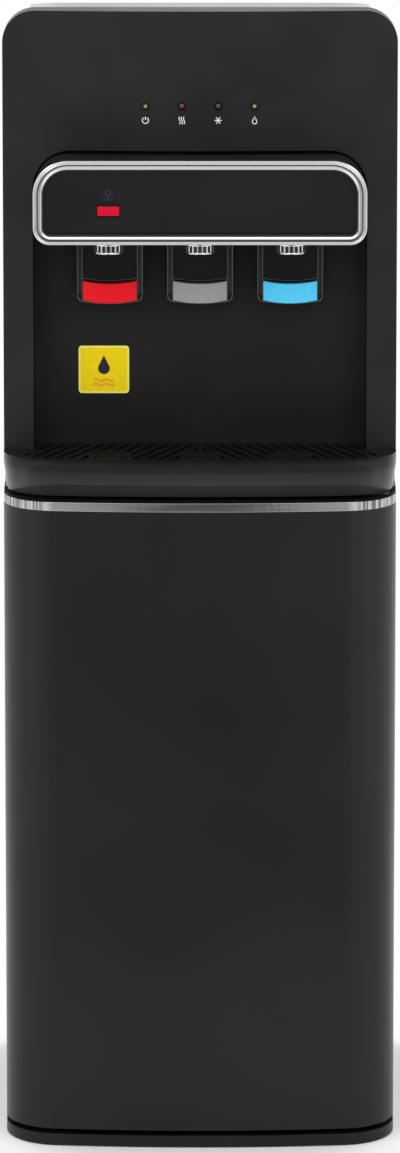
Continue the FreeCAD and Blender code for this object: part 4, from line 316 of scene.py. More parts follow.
def vary_colour(material, shader, first, second, feature, stretch=(1, 1, 1)):
    """A soft change between two colours."""
    tree = material.node_tree
    noise = add_noise(material, feature, 4.0, stretch)
    blend = add_ramp(tree, noise.outputs["Fac"], 0.35, first, 0.65, second)
    link(tree, blend, shader.inputs["Base Color"])


print("finish tools ready")

# %% [markdown]
# **Black plastics.** The head, the base and the levers are moulded in a black plastic with a fine
# spark-eroded grain. One function makes them all, and only the shade, the gloss and the depth of
# the grain differ. A small change of roughness over hand-sized patches keeps such large dark faces
# from looking like a flat fill.

# %% Black plastics
SHADE_PATCH = 0.05
GLOSS_PATCH = 0.09
MOULD_GRAIN = 0.0006


def moulded_black(name, colour, low, high, depth, mirror=0.2):
    """Grained black plastic, whose roughness runs from low to high."""
    material, shader = new_finish(name, colour, (low + high) / 2)
    shader.inputs["Specular IOR Level"].default_value = mirror
    vary_colour(material, shader, colour, tuple(v * 1.35 for v in colour), SHADE_PATCH)
    vary_roughness(material, shader, low, high, GLOSS_PATCH)
    grain(material, shader, MOULD_GRAIN, depth)
    return material


head_black = moulded_black("Head black plastic", (0.0112, 0.0112, 0.0114), 0.36, 0.44, 0.00002)
satin_black = moulded_black("Satin black plastic", (0.0076, 0.0076, 0.0078), 0.36, 0.44, 0.00002)
alcove_black = moulded_black("Alcove black plastic", (0.0070, 0.0075, 0.0073), 0.36, 0.44, 0.00003)
lever_black = moulded_black(
    "Lever black plastic", (0.0050, 0.0050, 0.0052), 0.16, 0.22, 0.00001, 0.5)
shelf_black = moulded_black(
    "Shelf black plastic", (0.0065, 0.0063, 0.0060), 0.16, 0.22, 0.00001, 0.22)
grille_black = moulded_black("Grille black plastic", (0.0060, 0.0063, 0.0062), 0.34, 0.42, 0.00002)
housing_black = moulded_black(
    "Housing black plastic", (0.0055, 0.0055, 0.0057), 0.10, 0.16, 0.00001, 0.3)
face_black = moulded_black("Tap face black plastic", (0.0068, 0.0068, 0.0068), 0.34, 0.42, 0.00001)
print("materials so far:", len(bpy.data.materials))

# %% [markdown]
# The shelf round the drip tray isn't the same all the way down. Its flat top is the dullest, and the
# upright band under it mirrors more. Where the moulding turns back under the band, its colour turns
# paler: a painted reflection of the bright floor below. Both changes follow the height alone, so the
# object's own Z drives them.

# %% Painted reflection and shine of the shelf
PAINTED_REFLECTION_STARTS = 0.598
PAINTED_REFLECTION_FULL = 0.584
PAINTED_REFLECTION_COLOUR = (0.040, 0.038, 0.036)
BAND_TOP = 0.605
BAND_FULL = 0.600
TOP_MIRROR = 0.14
BAND_MIRROR = 0.29
tree = shelf_black.node_tree
shelf_shader = tree.nodes["Principled BSDF"]
clean_colour = shelf_shader.inputs["Base Color"].links[0].from_socket
shelf_height = object_axis(tree, "Z")
# Painted reflection: lower down the colour turns paler, as the bright floor would show in the
# undercut.
painted_reflection = add_range(tree, shelf_height, PAINTED_REFLECTION_STARTS, PAINTED_REFLECTION_FULL)
reflection_mix = tree.nodes.new("ShaderNodeMix")
reflection_mix.data_type = "RGBA"
reflection_mix.inputs["B"].default_value = (*PAINTED_REFLECTION_COLOUR, 1.0)
link(tree, painted_reflection, reflection_mix.inputs["Factor"])
link(tree, clean_colour, reflection_mix.inputs["A"])
link(tree, reflection_mix.outputs["Result"], shelf_shader.inputs["Base Color"])
shelf_mirror = add_range(tree, shelf_height, BAND_TOP, BAND_FULL, TOP_MIRROR, BAND_MIRROR)
link(tree, shelf_mirror, shelf_shader.inputs["Specular IOR Level"])
print("shelf haze from", PAINTED_REFLECTION_STARTS, "down to", PAINTED_REFLECTION_FULL, "m")

# %% [markdown]
# **Lacquers, powder coat and rubber.** The door is lacquered steel: smooth, with the faint ripple
# that painters call orange peel. The side panels are powder coated, which leaves coarser bumps. The
# lid is polished, the condenser is dipped in a glossy lacquer, and rubber is the dullest of all.

# %% Lacquers and rubber
lid_black, lid_shader = new_finish("Glossy black lid", (0.012, 0.012, 0.012), 0.12)
vary_roughness(lid_black, lid_shader, 0.08, 0.18, 0.12)
grain(lid_black, lid_shader, 0.004, 0.000006)

door_black, door_shader = new_finish("Black door lacquer", (0.0080, 0.0080, 0.0080), 0.34)
door_shader.inputs["Specular IOR Level"].default_value = 0.25
vary_colour(door_black, door_shader, (0.0066, 0.0066, 0.0064), (0.0088, 0.0088, 0.0088), 0.16)
vary_roughness(door_black, door_shader, 0.32, 0.38, 0.15)
grain(door_black, door_shader, 0.0016, 0.000008)

side_black, side_shader = new_finish("Black powder coat", (0.012, 0.012, 0.012), 0.5)
side_shader.inputs["Specular IOR Level"].default_value = 0.35
vary_roughness(side_black, side_shader, 0.47, 0.52, 0.04)
grain(side_black, side_shader, 0.0009, 0.00005)

rubber_black, rubber_shader = new_finish("Black rubber", (0.012, 0.012, 0.012), 0.75)
vary_roughness(rubber_black, rubber_shader, 0.65, 0.85, 0.01)
grain(rubber_black, rubber_shader, 0.0012, 0.00004)

coil_black, coil_shader = new_finish("Black condenser lacquer", (0.010, 0.010, 0.010), 0.28)
vary_roughness(coil_black, coil_shader, 0.22, 0.38, 0.03)
grain(coil_black, coil_shader, 0.002, 0.00001)
print("materials so far:", len(bpy.data.materials))

# %% [markdown]
# ** Bright metals.** The ring round the tap housing is chromed plastic: almost a mirror, with a faint haze where cloths have wiped it. The band on the door is a thin metal strip, brushed along its length, so its highlights spread upright: anisotropy does that. At the door's two round corners dark and pale upright streaks are painted into the band's colour: a painted reflection of the studio round the machine. The distance from the middle of the door says where the corners begin, and noise drawn out in height gives the streaks.

# %% Chrome and the door's band
BAND_COLOUR = (0.64, 0.65, 0.66)
STREAKS_START = 0.134
STREAKS_FULL = 0.140
PAINTED_STREAK_DARK = (0.16, 0.16, 0.16)
PAINTED_STREAK_PALE = (0.60, 0.60, 0.60)
chrome, chrome_shader = new_finish("Bright chrome", (0.68, 0.69, 0.70), 0.07, 1.0)
vary_roughness(chrome, chrome_shader, 0.04, 0.11, 0.02)
grain(chrome, chrome_shader, 0.006, 0.000004)

band_metal, band_shader = new_finish("Brushed bright band", BAND_COLOUR, 0.16, 1.0)
band_shader.inputs["Anisotropic"].default_value = 0.6
vary_roughness(band_metal, band_shader, 0.11, 0.20, 0.004, (0.06, 0.06, 1.0))
grain(band_metal, band_shader, 0.0005, 0.000003, 2.0, (0.03, 0.03, 1.0))
grain(band_metal, band_shader, 0.005, 0.00005, 2.0, (1.0, 1.0, 0.03))

tree = band_metal.node_tree
# Painted reflection: dark and pale streaks in the band's colour where its corners would mirror the
# studio.
painted_streaks = add_noise(band_metal, 0.0022, 2.0, (1.0, 1.0, 0.02))
streak_colour = add_ramp(tree, painted_streaks.outputs["Fac"], 0.42, PAINTED_STREAK_DARK, 0.60, PAINTED_STREAK_PALE)
off_middle = add_math(tree, "ABSOLUTE", object_axis(tree, "X"))
streak_share = add_range(tree, off_middle, STREAKS_START, STREAKS_FULL)
painted_band_colour = tree.nodes.new("ShaderNodeMix")
painted_band_colour.data_type = "RGBA"
painted_band_colour.inputs["A"].default_value = (*BAND_COLOUR, 1.0)
link(tree, streak_share, painted_band_colour.inputs["Factor"])
link(tree, streak_colour, painted_band_colour.inputs["B"])
link(tree, painted_band_colour.outputs["Result"], band_shader.inputs["Base Color"])
print("the band is streaked beyond", STREAKS_FULL, "m from the middle")

# %% [markdown]
# **Steels.** The back panels are zinc coated. The coating sets in flat crystals, the spangle, each
# of which scatters light in its own way, and Voronoi cells give those crystals. Pins and the strike
# plate are turned steel, the hinge brackets are blackened, and the screws are zinc plated.

# %% Steels
CRYSTALS_PER_METRE = 90
zinc, zinc_shader = new_finish("Zinc coated steel", (0.50, 0.52, 0.54), 0.42, 1.0)
grain(zinc, zinc_shader, 0.002, 0.000006)
tree = zinc.node_tree
cell_place = tree.nodes.new("ShaderNodeTexCoord")
cells = tree.nodes.new("ShaderNodeTexVoronoi")
cells.inputs["Scale"].default_value = CRYSTALS_PER_METRE
link(tree, cell_place.outputs["Object"], cells.inputs["Vector"])
cell_gloss = add_range(tree, cells.outputs["Color"], 0.0, 1.0, 0.30, 0.55)
link(tree, cell_gloss, zinc_shader.inputs["Roughness"])

steel, steel_shader = new_finish("Turned steel", (0.55, 0.55, 0.56), 0.25, 1.0)
vary_roughness(steel, steel_shader, 0.18, 0.32, 0.004)
grain(steel, steel_shader, 0.0004, 0.000003, 2.0, (1.0, 1.0, 0.1))

dark_steel, dark_steel_shader = new_finish("Blackened steel", (0.05, 0.05, 0.052), 0.35, 1.0)
vary_roughness(dark_steel, dark_steel_shader, 0.28, 0.42, 0.004)
grain(dark_steel, dark_steel_shader, 0.0006, 0.000004)

screw_steel, screw_shader = new_finish("Zinc plated screw", (0.60, 0.61, 0.63), 0.30, 1.0)
vary_roughness(screw_steel, screw_shader, 0.22, 0.40, 0.001)
print("materials so far:", len(bpy.data.materials))

# %% [markdown]
# **Coloured and pale plastics.** The push pads and the child lock key are moulded through in colour.
# Such plastics let a little light in, so a trace of subsurface scattering softens them. The pads are
# satin; the key is polished. Pale parts inside the machine have a faint yellowing and dull patches.

# %% Coloured and pale plastics
def moulded_colour(name, colour, roughness, depth=0.00001, mirror=0.3):
    """Plastic that is coloured all through and lets a little light in."""
    material, shader = new_finish(name, colour, roughness)
    shader.inputs["Specular IOR Level"].default_value = mirror
    shader.inputs["Subsurface Weight"].default_value = 0.05
    shader.inputs["Subsurface Radius"].default_value = (0.0012, 0.0008, 0.0006)
    vary_colour(material, shader, tuple(v * 0.93 for v in colour), colour, 0.006)
    vary_roughness(material, shader, roughness * 0.85, roughness * 1.15, 0.02)
    grain(material, shader, 0.0008, depth)
    return material


pad_red = moulded_colour("Red pad", (0.82, 0.006, 0.014), 0.45, mirror=0.15)
pad_grey = moulded_colour("Grey pad", (0.32, 0.32, 0.31), 0.45, mirror=0.15)
pad_blue = moulded_colour("Light blue pad", (0.095, 0.62, 0.95), 0.45, mirror=0.15)
key_red = moulded_colour("Polished red key", (0.58, 0.008, 0.034), 0.16, 0.000003)
pale_plastic = moulded_colour("Pale moulded plastic", (0.72, 0.73, 0.71), 0.42)
liner_grey = moulded_colour("Grey liner plastic", (0.20, 0.20, 0.205), 0.48, 0.00003)
switch_red = moulded_colour("Red rocker", (0.60, 0.015, 0.015), 0.3)
switch_grey = moulded_colour("Grey rocker", (0.16, 0.16, 0.165), 0.3)
foam_shell = moulded_colour("Insulation shell", (0.62, 0.63, 0.60), 0.65, 0.0001)
board_green = moulded_colour("Lamp board", (0.02, 0.16, 0.06), 0.35)
print("materials so far:", len(bpy.data.materials))

# %% [markdown]
# **Silicone and inks.** The hose is milky silicone, which passes part of the light and scatters the
# rest. Inks are opaque and thin, so they only vary a little in shade, as a screen print does.

# %% Silicone and inks
silicone, silicone_shader = new_finish("Milky silicone", (0.78, 0.80, 0.80), 0.38)
silicone_shader.inputs["Transmission Weight"].default_value = 0.35
silicone_shader.inputs["Subsurface Weight"].default_value = 0.25
silicone_shader.inputs["Subsurface Radius"].default_value = (0.004, 0.004, 0.004)
vary_roughness(silicone, silicone_shader, 0.30, 0.46, 0.01)
grain(silicone, silicone_shader, 0.003, 0.00002)


def ink(name, colour, roughness, darker, paler, feature=0.0010):
    """An opaque print whose shade varies a little."""
    material, shader = new_finish(name, colour, roughness)
    vary_colour(material, shader, darker, paler, feature)
    return material


print_white = ink(
    "White print", (0.86, 0.86, 0.86), 0.5, (0.80, 0.80, 0.80), (0.88, 0.88, 0.88), 0.0008)
print_dark = ink(
    "Dark print", (0.012, 0.008, 0.020), 0.35, (0.006, 0.004, 0.010), (0.012, 0.008, 0.016))
print_violet = ink(
    "Faint violet print", (0.020, 0.010, 0.045), 0.35, (0.018, 0.009, 0.042), (0.026, 0.014, 0.055))
print_orange = ink(
    "Orange print", (0.80, 0.36, 0.004), 0.4, (0.74, 0.33, 0.004), (0.82, 0.38, 0.004))
print_pale = ink(
    "Pale yellow print", (0.88, 0.82, 0.16), 0.4, (0.84, 0.78, 0.13), (0.90, 0.84, 0.20))
print("materials so far:", len(bpy.data.materials))

# %% [markdown]
# ## Dressing the CAD pieces
#
# CAD edges are perfectly sharp, and no real edge is. The imported meshes keep their vertices split
# along hard edges, so they are first welded. A planar decimate then clears the long thin triangles
# away. What it leaves can be one face with a hole in it, such as the shelf round its tray, which a
# bevel may fill wrongly, so the faces are cut into triangles again. Last, a small bevel gives each
# edge the bright line that the eye reads as a real part. Modifiers do all of this without touching
# the CAD shape itself.

# %% Soften the edges of a node
WELD_REACH = 0.01 * MM
FLAT_ANGLE = math.radians(0.6)


def soften(piece, width):
    """Clean flat faces, and a small radius on the sharp edges of a CAD piece."""
    weld = piece.modifiers.new("Weld", "WELD")
    weld.merge_threshold = WELD_REACH
    flat = piece.modifiers.new("Planar", "DECIMATE")
    flat.decimate_type = "DISSOLVE"
    flat.angle_limit = FLAT_ANGLE
    thirds = piece.modifiers.new("Triangles", "TRIANGULATE")
    thirds.ngon_method = "BEAUTY"
    bevel = piece.modifiers.new("Edge radius", "BEVEL")
    bevel.width = width
    bevel.segments = 2
    bevel.limit_method = "ANGLE"
    bevel.angle_limit = SHARP_ANGLE
    normals = piece.modifiers.new("Even shading", "WEIGHTED_NORMAL")
    normals.keep_sharp = True


def dress(names, material, width=0.0):
    """Gives nodes their finish, and an edge radius where one is wanted."""
    for name in names:
        piece = bpy.data.objects[name]
        piece.data.materials.clear()
        piece.data.materials.append(material)
        if width:
            soften(piece, width)


print("flat faces meet within", round(math.degrees(FLAT_ANGLE), 1), "degrees")

# %% [markdown]
# Each line below names the nodes that share a finish, and how large their edge radius is. Steel
# sheet gets a small radius, plastic mouldings a larger one, and the foam shell the largest. Nodes
# that gain nothing from it, such as the alcove's flat wall, the pierced grille or the condenser's
# wires, get none.

# %% Dress the housing
dress(["fascia_frame"], head_black, 0.0007)
dress(["base_plinth", "door_top_cap", "door_bottom_cap"], satin_black, 0.0006)
dress(["pod_shell"], housing_black, 0.0006)
dress(["pod_face"], face_black, 0.0005)
dress(["alcove_panel"], alcove_black)
dress(["drip_shelf"], shelf_black, 0.0009)
dress(["drip_tray"], shelf_black, 0.0004)
dress(["drip_grille"], grille_black)
dress(["top_cover"], lid_black, 0.0008)
dress(["door_skin"], door_black, 0.0003)
dress(["side_panel_left", "side_panel_right"], side_black, 0.0004)
dress(["rear_panel_lower", "rear_panel_upper", "mid_deck", "tank_shelf"], zinc, 0.0002)
dress(["chrome_ring"], chrome)
dress(["door_trim"], band_metal, 0.0003)
print("housing dressed")

# %% Dress the working parts
TAPS = ("hot", "normal", "cold")
dress(["foot_pads", "door_magnet", "compressor_mounts", "power_inlet"], rubber_black, 0.0004)
dress(["condenser", "compressor"], coil_black)
dress(["condenser_mounts", "switch_frame"], satin_black, 0.0004)
dress(["door_liner", "water_pump", "lock_switch_case"], liner_grey, 0.0006)
dress(["probe_holder", "bottle_probe", "control_box", "drain_outlet"], pale_plastic, 0.0004)
dress(["hinge_bushes"], grille_black, 0.0004)
dress(["tap_body_" + tap for tap in TAPS], pale_plastic, 0.0003)
dress(["nozzle_" + tap for tap in TAPS], chrome, 0.0003)
dress(["lever_" + tap for tap in TAPS], lever_black, 0.0006)
dress(["lever_pad_hot"], pad_red, 0.0005)
dress(["lever_pad_normal"], pad_grey, 0.0005)
dress(["lever_pad_cold"], pad_blue, 0.0005)
dress(["lock_button"], key_red, 0.0008)
dress(["lever_pins", "strike_plate", "hot_tank"], steel, 0.0003)
dress(["hinge_brackets"], dark_steel, 0.0003)
dress(["rocker_hot"], switch_red, 0.0004)
dress(["rocker_cold"], switch_grey, 0.0004)
dress(["cold_tank"], foam_shell, 0.002)
dress(["led_board"], board_green)
dress(["led_lenses"], rubber_black)
undressed = [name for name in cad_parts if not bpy.data.objects[name].modifiers]
print("without edge radius:", undressed)

# %% [markdown]
# ## Indicator lamps
#
# Four small lamps sit in a row on the head. Each is a domed lens in a thin raised bezel. Unlit
# coloured lenses look like dark glass with a bright dot of reflected light, so the amber ones are
# the only ones that show their colour. A domed profile turned about the lamp's own axis gives both.
# The head is bowed, so each lamp first finds how far forward the head is at its own place.

# %% Place and finish of a lamp
LAMP_XS = [v * MM for v in (-47.4, -15.8, 15.8, 47.4)]
LAMP_Z = 917.6 * MM
HEAD_RADIUS = 1.2
HEAD_CROWN = -0.126


def head_front(x):
    """The y of the bowed head front at a place across it."""
    return HEAD_CROWN + HEAD_RADIUS - math.sqrt(HEAD_RADIUS ** 2 - x ** 2)


def lens_finish(name, colour):
    """Coloured glass under a clear polished coat."""
    material, shader = new_finish(name, colour, 0.10)
    shader.inputs["Coat Weight"].default_value = 0.6
    shader.inputs["Coat Roughness"].default_value = 0.03
    vary_colour(material, shader, tuple(v * 0.6 for v in colour), colour, 0.0025)
    vary_roughness(material, shader, 0.07, 0.14, 0.002)
    return material


def bezel_finish(name, colour):
    """The shaded rim of a lens: the lens's own colour, nearly black."""
    material, shader = new_finish(name, colour, 0.5)
    shader.inputs["Specular IOR Level"].default_value = 0.1
    vary_colour(material, shader, tuple(v * 0.7 for v in colour), colour, 0.001)
    vary_roughness(material, shader, 0.4, 0.6, 0.002)
    return material


print("head front at the outer lamps:", round(head_front(LAMP_XS[0]), 4))

# %% Four lamps
LENS_RADIUS = 2.2 * MM
LENS_FOOT = -0.3 * MM
AMBER_RIM = (0.012, 0.010, 0.001)
LENS_COLOURS = [(0.42, 0.38, 0.06), (0.10, 0.002, 0.011), (0.006, 0.030, 0.032), (0.40, 0.36, 0.05)]
BEZEL_COLOURS = [AMBER_RIM, (0.020, 0.001, 0.004), (0.001, 0.003, 0.004), AMBER_RIM]
bezel_profile = in_mm(((2.0, 0.9), (2.9, 1.0), (3.6, 0.6), (3.9, -0.3)))
lens_profile = [(LENS_RADIUS, LENS_FOOT)]
for step in range(9):
    angle = math.pi / 2 * step / 8
    lens_profile.append((LENS_RADIUS * math.cos(angle), (0.95 + 1.0 * math.sin(angle)) * MM))
lens_profile[-1] = (0.0, lens_profile[-1][1])
for number, (lamp_x, colour, rim_colour) in enumerate(zip(LAMP_XS, LENS_COLOURS, BEZEL_COLOURS)):
    place = Matrix.Translation((lamp_x, head_front(lamp_x), LAMP_Z)) @ FACING_FRONT
    bezel = bmesh.new()
    add_turned(bezel, bezel_profile, place)
    rim = bezel_finish(f"Bezel {number}", rim_colour)
    add_piece(f"lamp_bezel_{number}", bezel, rim, "cabinet")
    dome = bmesh.new()
    add_turned(dome, lens_profile, place)
    glass = lens_finish(f"Lens {number}", colour)
    add_piece(f"lamp_lens_{number}", dome, glass, "cabinet")
print("lamps:", len(LAMP_XS))

# %% [markdown]
# ## Printed marks
#
# Four plain signs stand under the lamps: a stroke in an open circle, waves, a snowflake and a drop.
# A print is a film of ink a few hundredths of a millimetre thick, so each sign is a thin strip mesh
# that follows the bow of the head and stands a tenth of a millimetre off it.

# %% Strips of ink
INK_LIFT = 0.12 * MM


def on_head(u, v, middle_x, middle_z):
    """A place on the head front from flat coordinates round a middle."""
    x = middle_x + u
    return Vector((x, head_front(x) - INK_LIFT, middle_z + v))


def add_stroke(shape, points, width, to_space):
    """A flat ribbon of even width along a line of (u, v) points."""
    left = []
    right = []
    for number, (u, v) in enumerate(points):
        before = Vector(points[max(number - 1, 0)])
        after = Vector(points[min(number + 1, len(points) - 1)])
        along = (after - before).normalized()
        aside = Vector((-along.y, along.x)) * width / 2
        left.append(shape.verts.new(to_space(u + aside.x, v + aside.y)))
        right.append(shape.verts.new(to_space(u - aside.x, v - aside.y)))
    for number in range(len(points) - 1):
        shape.faces.new([left[number], left[number + 1], right[number + 1], right[number]])


def arc(radius, start, end, steps=20, middle=(0.0, 0.0)):
    """Points of a circle's arc between two angles in degrees."""
    points = []
    for step in range(steps + 1):
        angle = math.radians(start + (end - start) * step / steps)
        points.append((middle[0] + radius * math.cos(angle), middle[1] + radius * math.sin(angle)))
    return points


def drop_outline(radius, tip, middle):
    """A water drop: a round belly, and straight sides that leave it as tangents up to the tip."""
    lean = math.degrees(math.acos(radius / tip))
    belly = arc(radius, 90 + lean, 450 - lean, 20, middle)
    return belly + [(middle[0], middle[1] + tip)]


print("ink stands off by", round(INK_LIFT / MM, 2), "mm")

# %% [markdown]
# Each sign is a few strokes, drawn about its own middle and as large as its size says. The heat sign
# is three upright waves, the snowflake is three crossed lines, and the drop is a closed line.

# %% Four signs
SIGN_SIZE = 6.4 * MM
SIGN_STROKE = 0.8 * MM
SIGN_Z = LAMP_Z - 12.5 * MM


def wave_stroke(size, shift):
    """One upright wavy line of a sign."""
    points = []
    for step in range(13):
        u = size * (shift + 0.09 * math.sin(step * math.pi / 6))
        points.append((u, size * (step / 12 - 0.5)))
    return points


def sign_strokes(kind, size):
    """The strokes of one plain sign."""
    if kind == "power":
        return [arc(0.42 * size, 120, 420), [(0, 0.05 * size), (0, 0.5 * size)]]
    if kind == "heat":
        return [wave_stroke(size, shift) for shift in (-0.3, 0.0, 0.3)]
    if kind == "frost":
        arms = []
        for angle in (0, 60, 120):
            turn = math.radians(angle)
            tip = (0.5 * size * math.cos(turn), 0.5 * size * math.sin(turn))
            arms.append([(-tip[0], -tip[1]), tip])
        return arms
    drop = drop_outline(0.3 * size, 0.68 * size, (0, -0.18 * size))
    return [drop + drop[:1]]


for lamp_x, kind in zip(LAMP_XS, ("power", "heat", "frost", "drop")):
    sign = bmesh.new()
    for stroke in sign_strokes(kind, SIGN_SIZE):
        add_stroke(sign, stroke, SIGN_STROKE, lambda u, v: on_head(u, v, lamp_x, SIGN_Z))
    add_piece(f"sign_{kind}", sign, print_white, "cabinet", smooth=False)
print("signs under the lamps:", len(LAMP_XS))

# %% [markdown]
# The child lock's sign is a small padlock above the red key: a body drawn as a frame with a middle
# line, and a shackle. It is printed on the flat face of the tap housing.

# %% Padlock sign
LOCK_X = -79 * MM
FACE_FRONT = -176.5 * MM
PADLOCK_Z = 846 * MM
BODY_LOW = -3.9 * MM
BODY_HIGH = 1.1 * MM
SHACKLE_RADIUS = 2.2 * MM


def on_face(u, v):
    return Vector((LOCK_X + u, FACE_FRONT - INK_LIFT, PADLOCK_Z + v))


padlock = bmesh.new()
for half in (3.6 * MM, 0.5 * MM):
    body_line = [(-half, BODY_LOW), (-half, BODY_HIGH), (half, BODY_HIGH), (half, BODY_LOW)]
    add_stroke(padlock, body_line + body_line[:1], 0.8 * MM, on_face)
bow = arc(SHACKLE_RADIUS, 180, 0, 12, (0, 2.2 * MM))
left_leg, right_leg = (-SHACKLE_RADIUS, 1.5 * MM), (SHACKLE_RADIUS, 1.5 * MM)
add_stroke(padlock, [left_leg] + bow + [right_leg], 0.9 * MM, on_face)
add_piece("sign_padlock", padlock, print_violet, "cabinet", smooth=False)
print("padlock at", round(PADLOCK_Z, 3), "m")

# %% [markdown]
# The red key is edged by shade where its polished edge turns into the gap. A fine dark red frame on
# the key paints that shade; it moves with the key when the key is pressed.

# %% Painted shade round the key
KEY_FRONT = -177.5 * MM
KEY_Z = 832.5 * MM
KEY_HALF = (9.5 * MM, 4.6 * MM)
KEY_SHADE_WIDTH = 1.1 * MM


def on_key(u, v):
    return Vector((LOCK_X + u, KEY_FRONT - INK_LIFT, KEY_Z + v))


# Painted shade: a dark red frame stands for the shade in the gap round the key.
painted_shade_red = moulded_colour("Dark red painted shade", (0.014, 0.001, 0.002), 0.30)
key_rim = bmesh.new()
corners = [(-1, -1), (1, -1), (1, 1), (-1, 1), (-1, -1), (1, -1)]
add_stroke(key_rim, [(u * KEY_HALF[0], v * KEY_HALF[1]) for u, v in corners], KEY_SHADE_WIDTH, on_key)
add_piece("key_rim", key_rim, painted_shade_red, "lock_key", smooth=False)
print("key rim:", round(KEY_SHADE_WIDTH / MM, 1), "mm wide")

# %% [markdown]
# ## Sticker
#
# A yellow vinyl sticker lies on the back wall of the alcove, below the left tap. It is a plain
# generic one, with a pale edge, a dark water drop and two orange waves under it. The sheet is
# 0.15 mm thick with rounded corners, and each ink is a film of its own.

# %% Sheet of the sticker
ALCOVE_BACK = -84 * MM
STICKER_MIDDLE = (-84.7 * MM, 679.3 * MM)
STICKER_HALF = (22.3 * MM, 21.2 * MM)
STICKER_CORNER = 3 * MM
SHEET_THICKNESS = 0.15 * MM


def rounded_outline(half_x, half_z, radius, steps=6):
    """Points round a rectangle with round corners."""
    points = []
    for sign_x, sign_z, start in ((1, 1, 0), (-1, 1, 90), (-1, -1, 180), (1, -1, 270)):
        middle = (sign_x * (half_x - radius), sign_z * (half_z - radius))
        points += arc(radius, start, start + 90, steps, middle)
    return points


def add_film(shape, outline, y, thickness):
    """A flat film in front of an upright wall."""
    loops = []
    for depth in (y, y - thickness):
        ring = []
        for u, v in outline:
            ring.append(shape.verts.new((STICKER_MIDDLE[0] + u, depth, STICKER_MIDDLE[1] + v)))
        loops.append(ring)
    shape.faces.new(loops[1])
    for number in range(len(outline)):
        after = (number + 1) % len(outline)
        shape.faces.new([loops[0][number], loops[0][after], loops[1][after], loops[1][number]])


vinyl_yellow = moulded_colour("Yellow vinyl", (0.90, 0.67, 0.002), 0.50, mirror=0.15)
sheet = bmesh.new()
add_film(sheet, rounded_outline(*STICKER_HALF, STICKER_CORNER), ALCOVE_BACK, SHEET_THICKNESS)
add_piece("sticker_sheet", sheet, vinyl_yellow, "cabinet", smooth=False)
print("sticker:", [round(2 * half / MM, 1) for half in STICKER_HALF], "mm")

# %% [markdown]
# The prints lie on the sheet. The edge is a stroke just inside the outline, the drop is a film of
# its own with the outline of the drop sign, and each wave is a stroke along a sine line.

# %% Prints on the sticker
EDGE_INSET = 0.95 * MM
PRINT_STROKE = 1.7 * MM
WAVE_HEIGHT = 0.9 * MM
WAVE_ROWS = (-9.5 * MM, -13.5 * MM)


def on_sticker(u, v):
    return Vector((STICKER_MIDDLE[0] + u, ALCOVE_BACK - 0.32 * MM, STICKER_MIDDLE[1] + v))


edge = bmesh.new()
outline = rounded_outline(STICKER_HALF[0] - EDGE_INSET, STICKER_HALF[1] - EDGE_INSET, 2.5 * MM)
add_stroke(edge, outline + outline[:1], PRINT_STROKE, on_sticker)
add_piece("sticker_edge", edge, print_pale, "cabinet", smooth=False)
drop = bmesh.new()
outline = drop_outline(5.2 * MM, 11.5 * MM, (0, 1.0 * MM))
add_film(drop, outline, ALCOVE_BACK - SHEET_THICKNESS, 0.12 * MM)
add_piece("sticker_drop", drop, print_dark, "cabinet", smooth=False)
waves = bmesh.new()
for row in WAVE_ROWS:
    wave = []
    for step in range(37):
        wave.append(((step / 2 - 9) * MM, row + WAVE_HEIGHT * math.sin(step * math.pi / 9)))
    add_stroke(waves, wave, PRINT_STROKE, on_sticker)
add_piece("sticker_waves", waves, print_orange, "cabinet", smooth=False)
print("waves on the sticker:", len(WAVE_ROWS))

# %% [markdown]
# ## Relief of the bright ring
#
# A flat chromed face mirrors one spot of the room and looks like grey paint. The real ring has a
# round outer bead, a groove, and a band that slopes inwards: each mirrors another part of the studio,
# which gives the bright, dark and grey lines. One section is swept round the ring's own outline.

# %% Outline and sweep
RING_FRONT = -180 * MM
POD_HALF = 144 * MM
POD_LOW = 803.0 * MM
POD_HIGH = 876.5 * MM
POD_LOW_RADIUS = 15 * MM
POD_HIGH_RADIUS = 30 * MM


def ring_outline(inset, steps=10):
    """Points round the tap housing, as many for each inset so that two outlines can be joined."""
    half = POD_HALF - inset
    low = POD_LOW + inset
    high = POD_HIGH - inset
    points = []
    for sign_x, edge, sign_z, radius, start in (
        (1, high, -1, POD_HIGH_RADIUS, 0),
        (-1, high, -1, POD_HIGH_RADIUS, 90),
        (-1, low, 1, POD_LOW_RADIUS, 180),
        (1, low, 1, POD_LOW_RADIUS, 270),
    ):
        rest = radius - inset
        middle = (sign_x * (half - rest), edge + sign_z * rest)
        points += arc(rest, start, start + 90, steps, middle)
    return points


def add_sweep(shape, section, front):
    """Joins outlines of growing inset, each pushed out by its own height."""
    loops = []
    for inset, height in section:
        loop = [shape.verts.new((x, front - height, z)) for x, z in ring_outline(inset)]
        loops.append(loop)
    for outer, inner in zip(loops, loops[1:]):
        for number in range(len(outer)):
            after = (number + 1) % len(outer)
            shape.faces.new([outer[number], outer[after], inner[after], inner[number]])


print("points round the ring:", len(ring_outline(0)))

# %% [markdown]
# The section is written as pairs of inset and height. The bead is an arc of a circle; the groove, the
# crest and the slope follow as single points. A dark strip in black rubber fills the seam between the
# ring and the flat face, with a low round lip, and its inner edge runs down out of sight: it paints
# the shade in that seam.

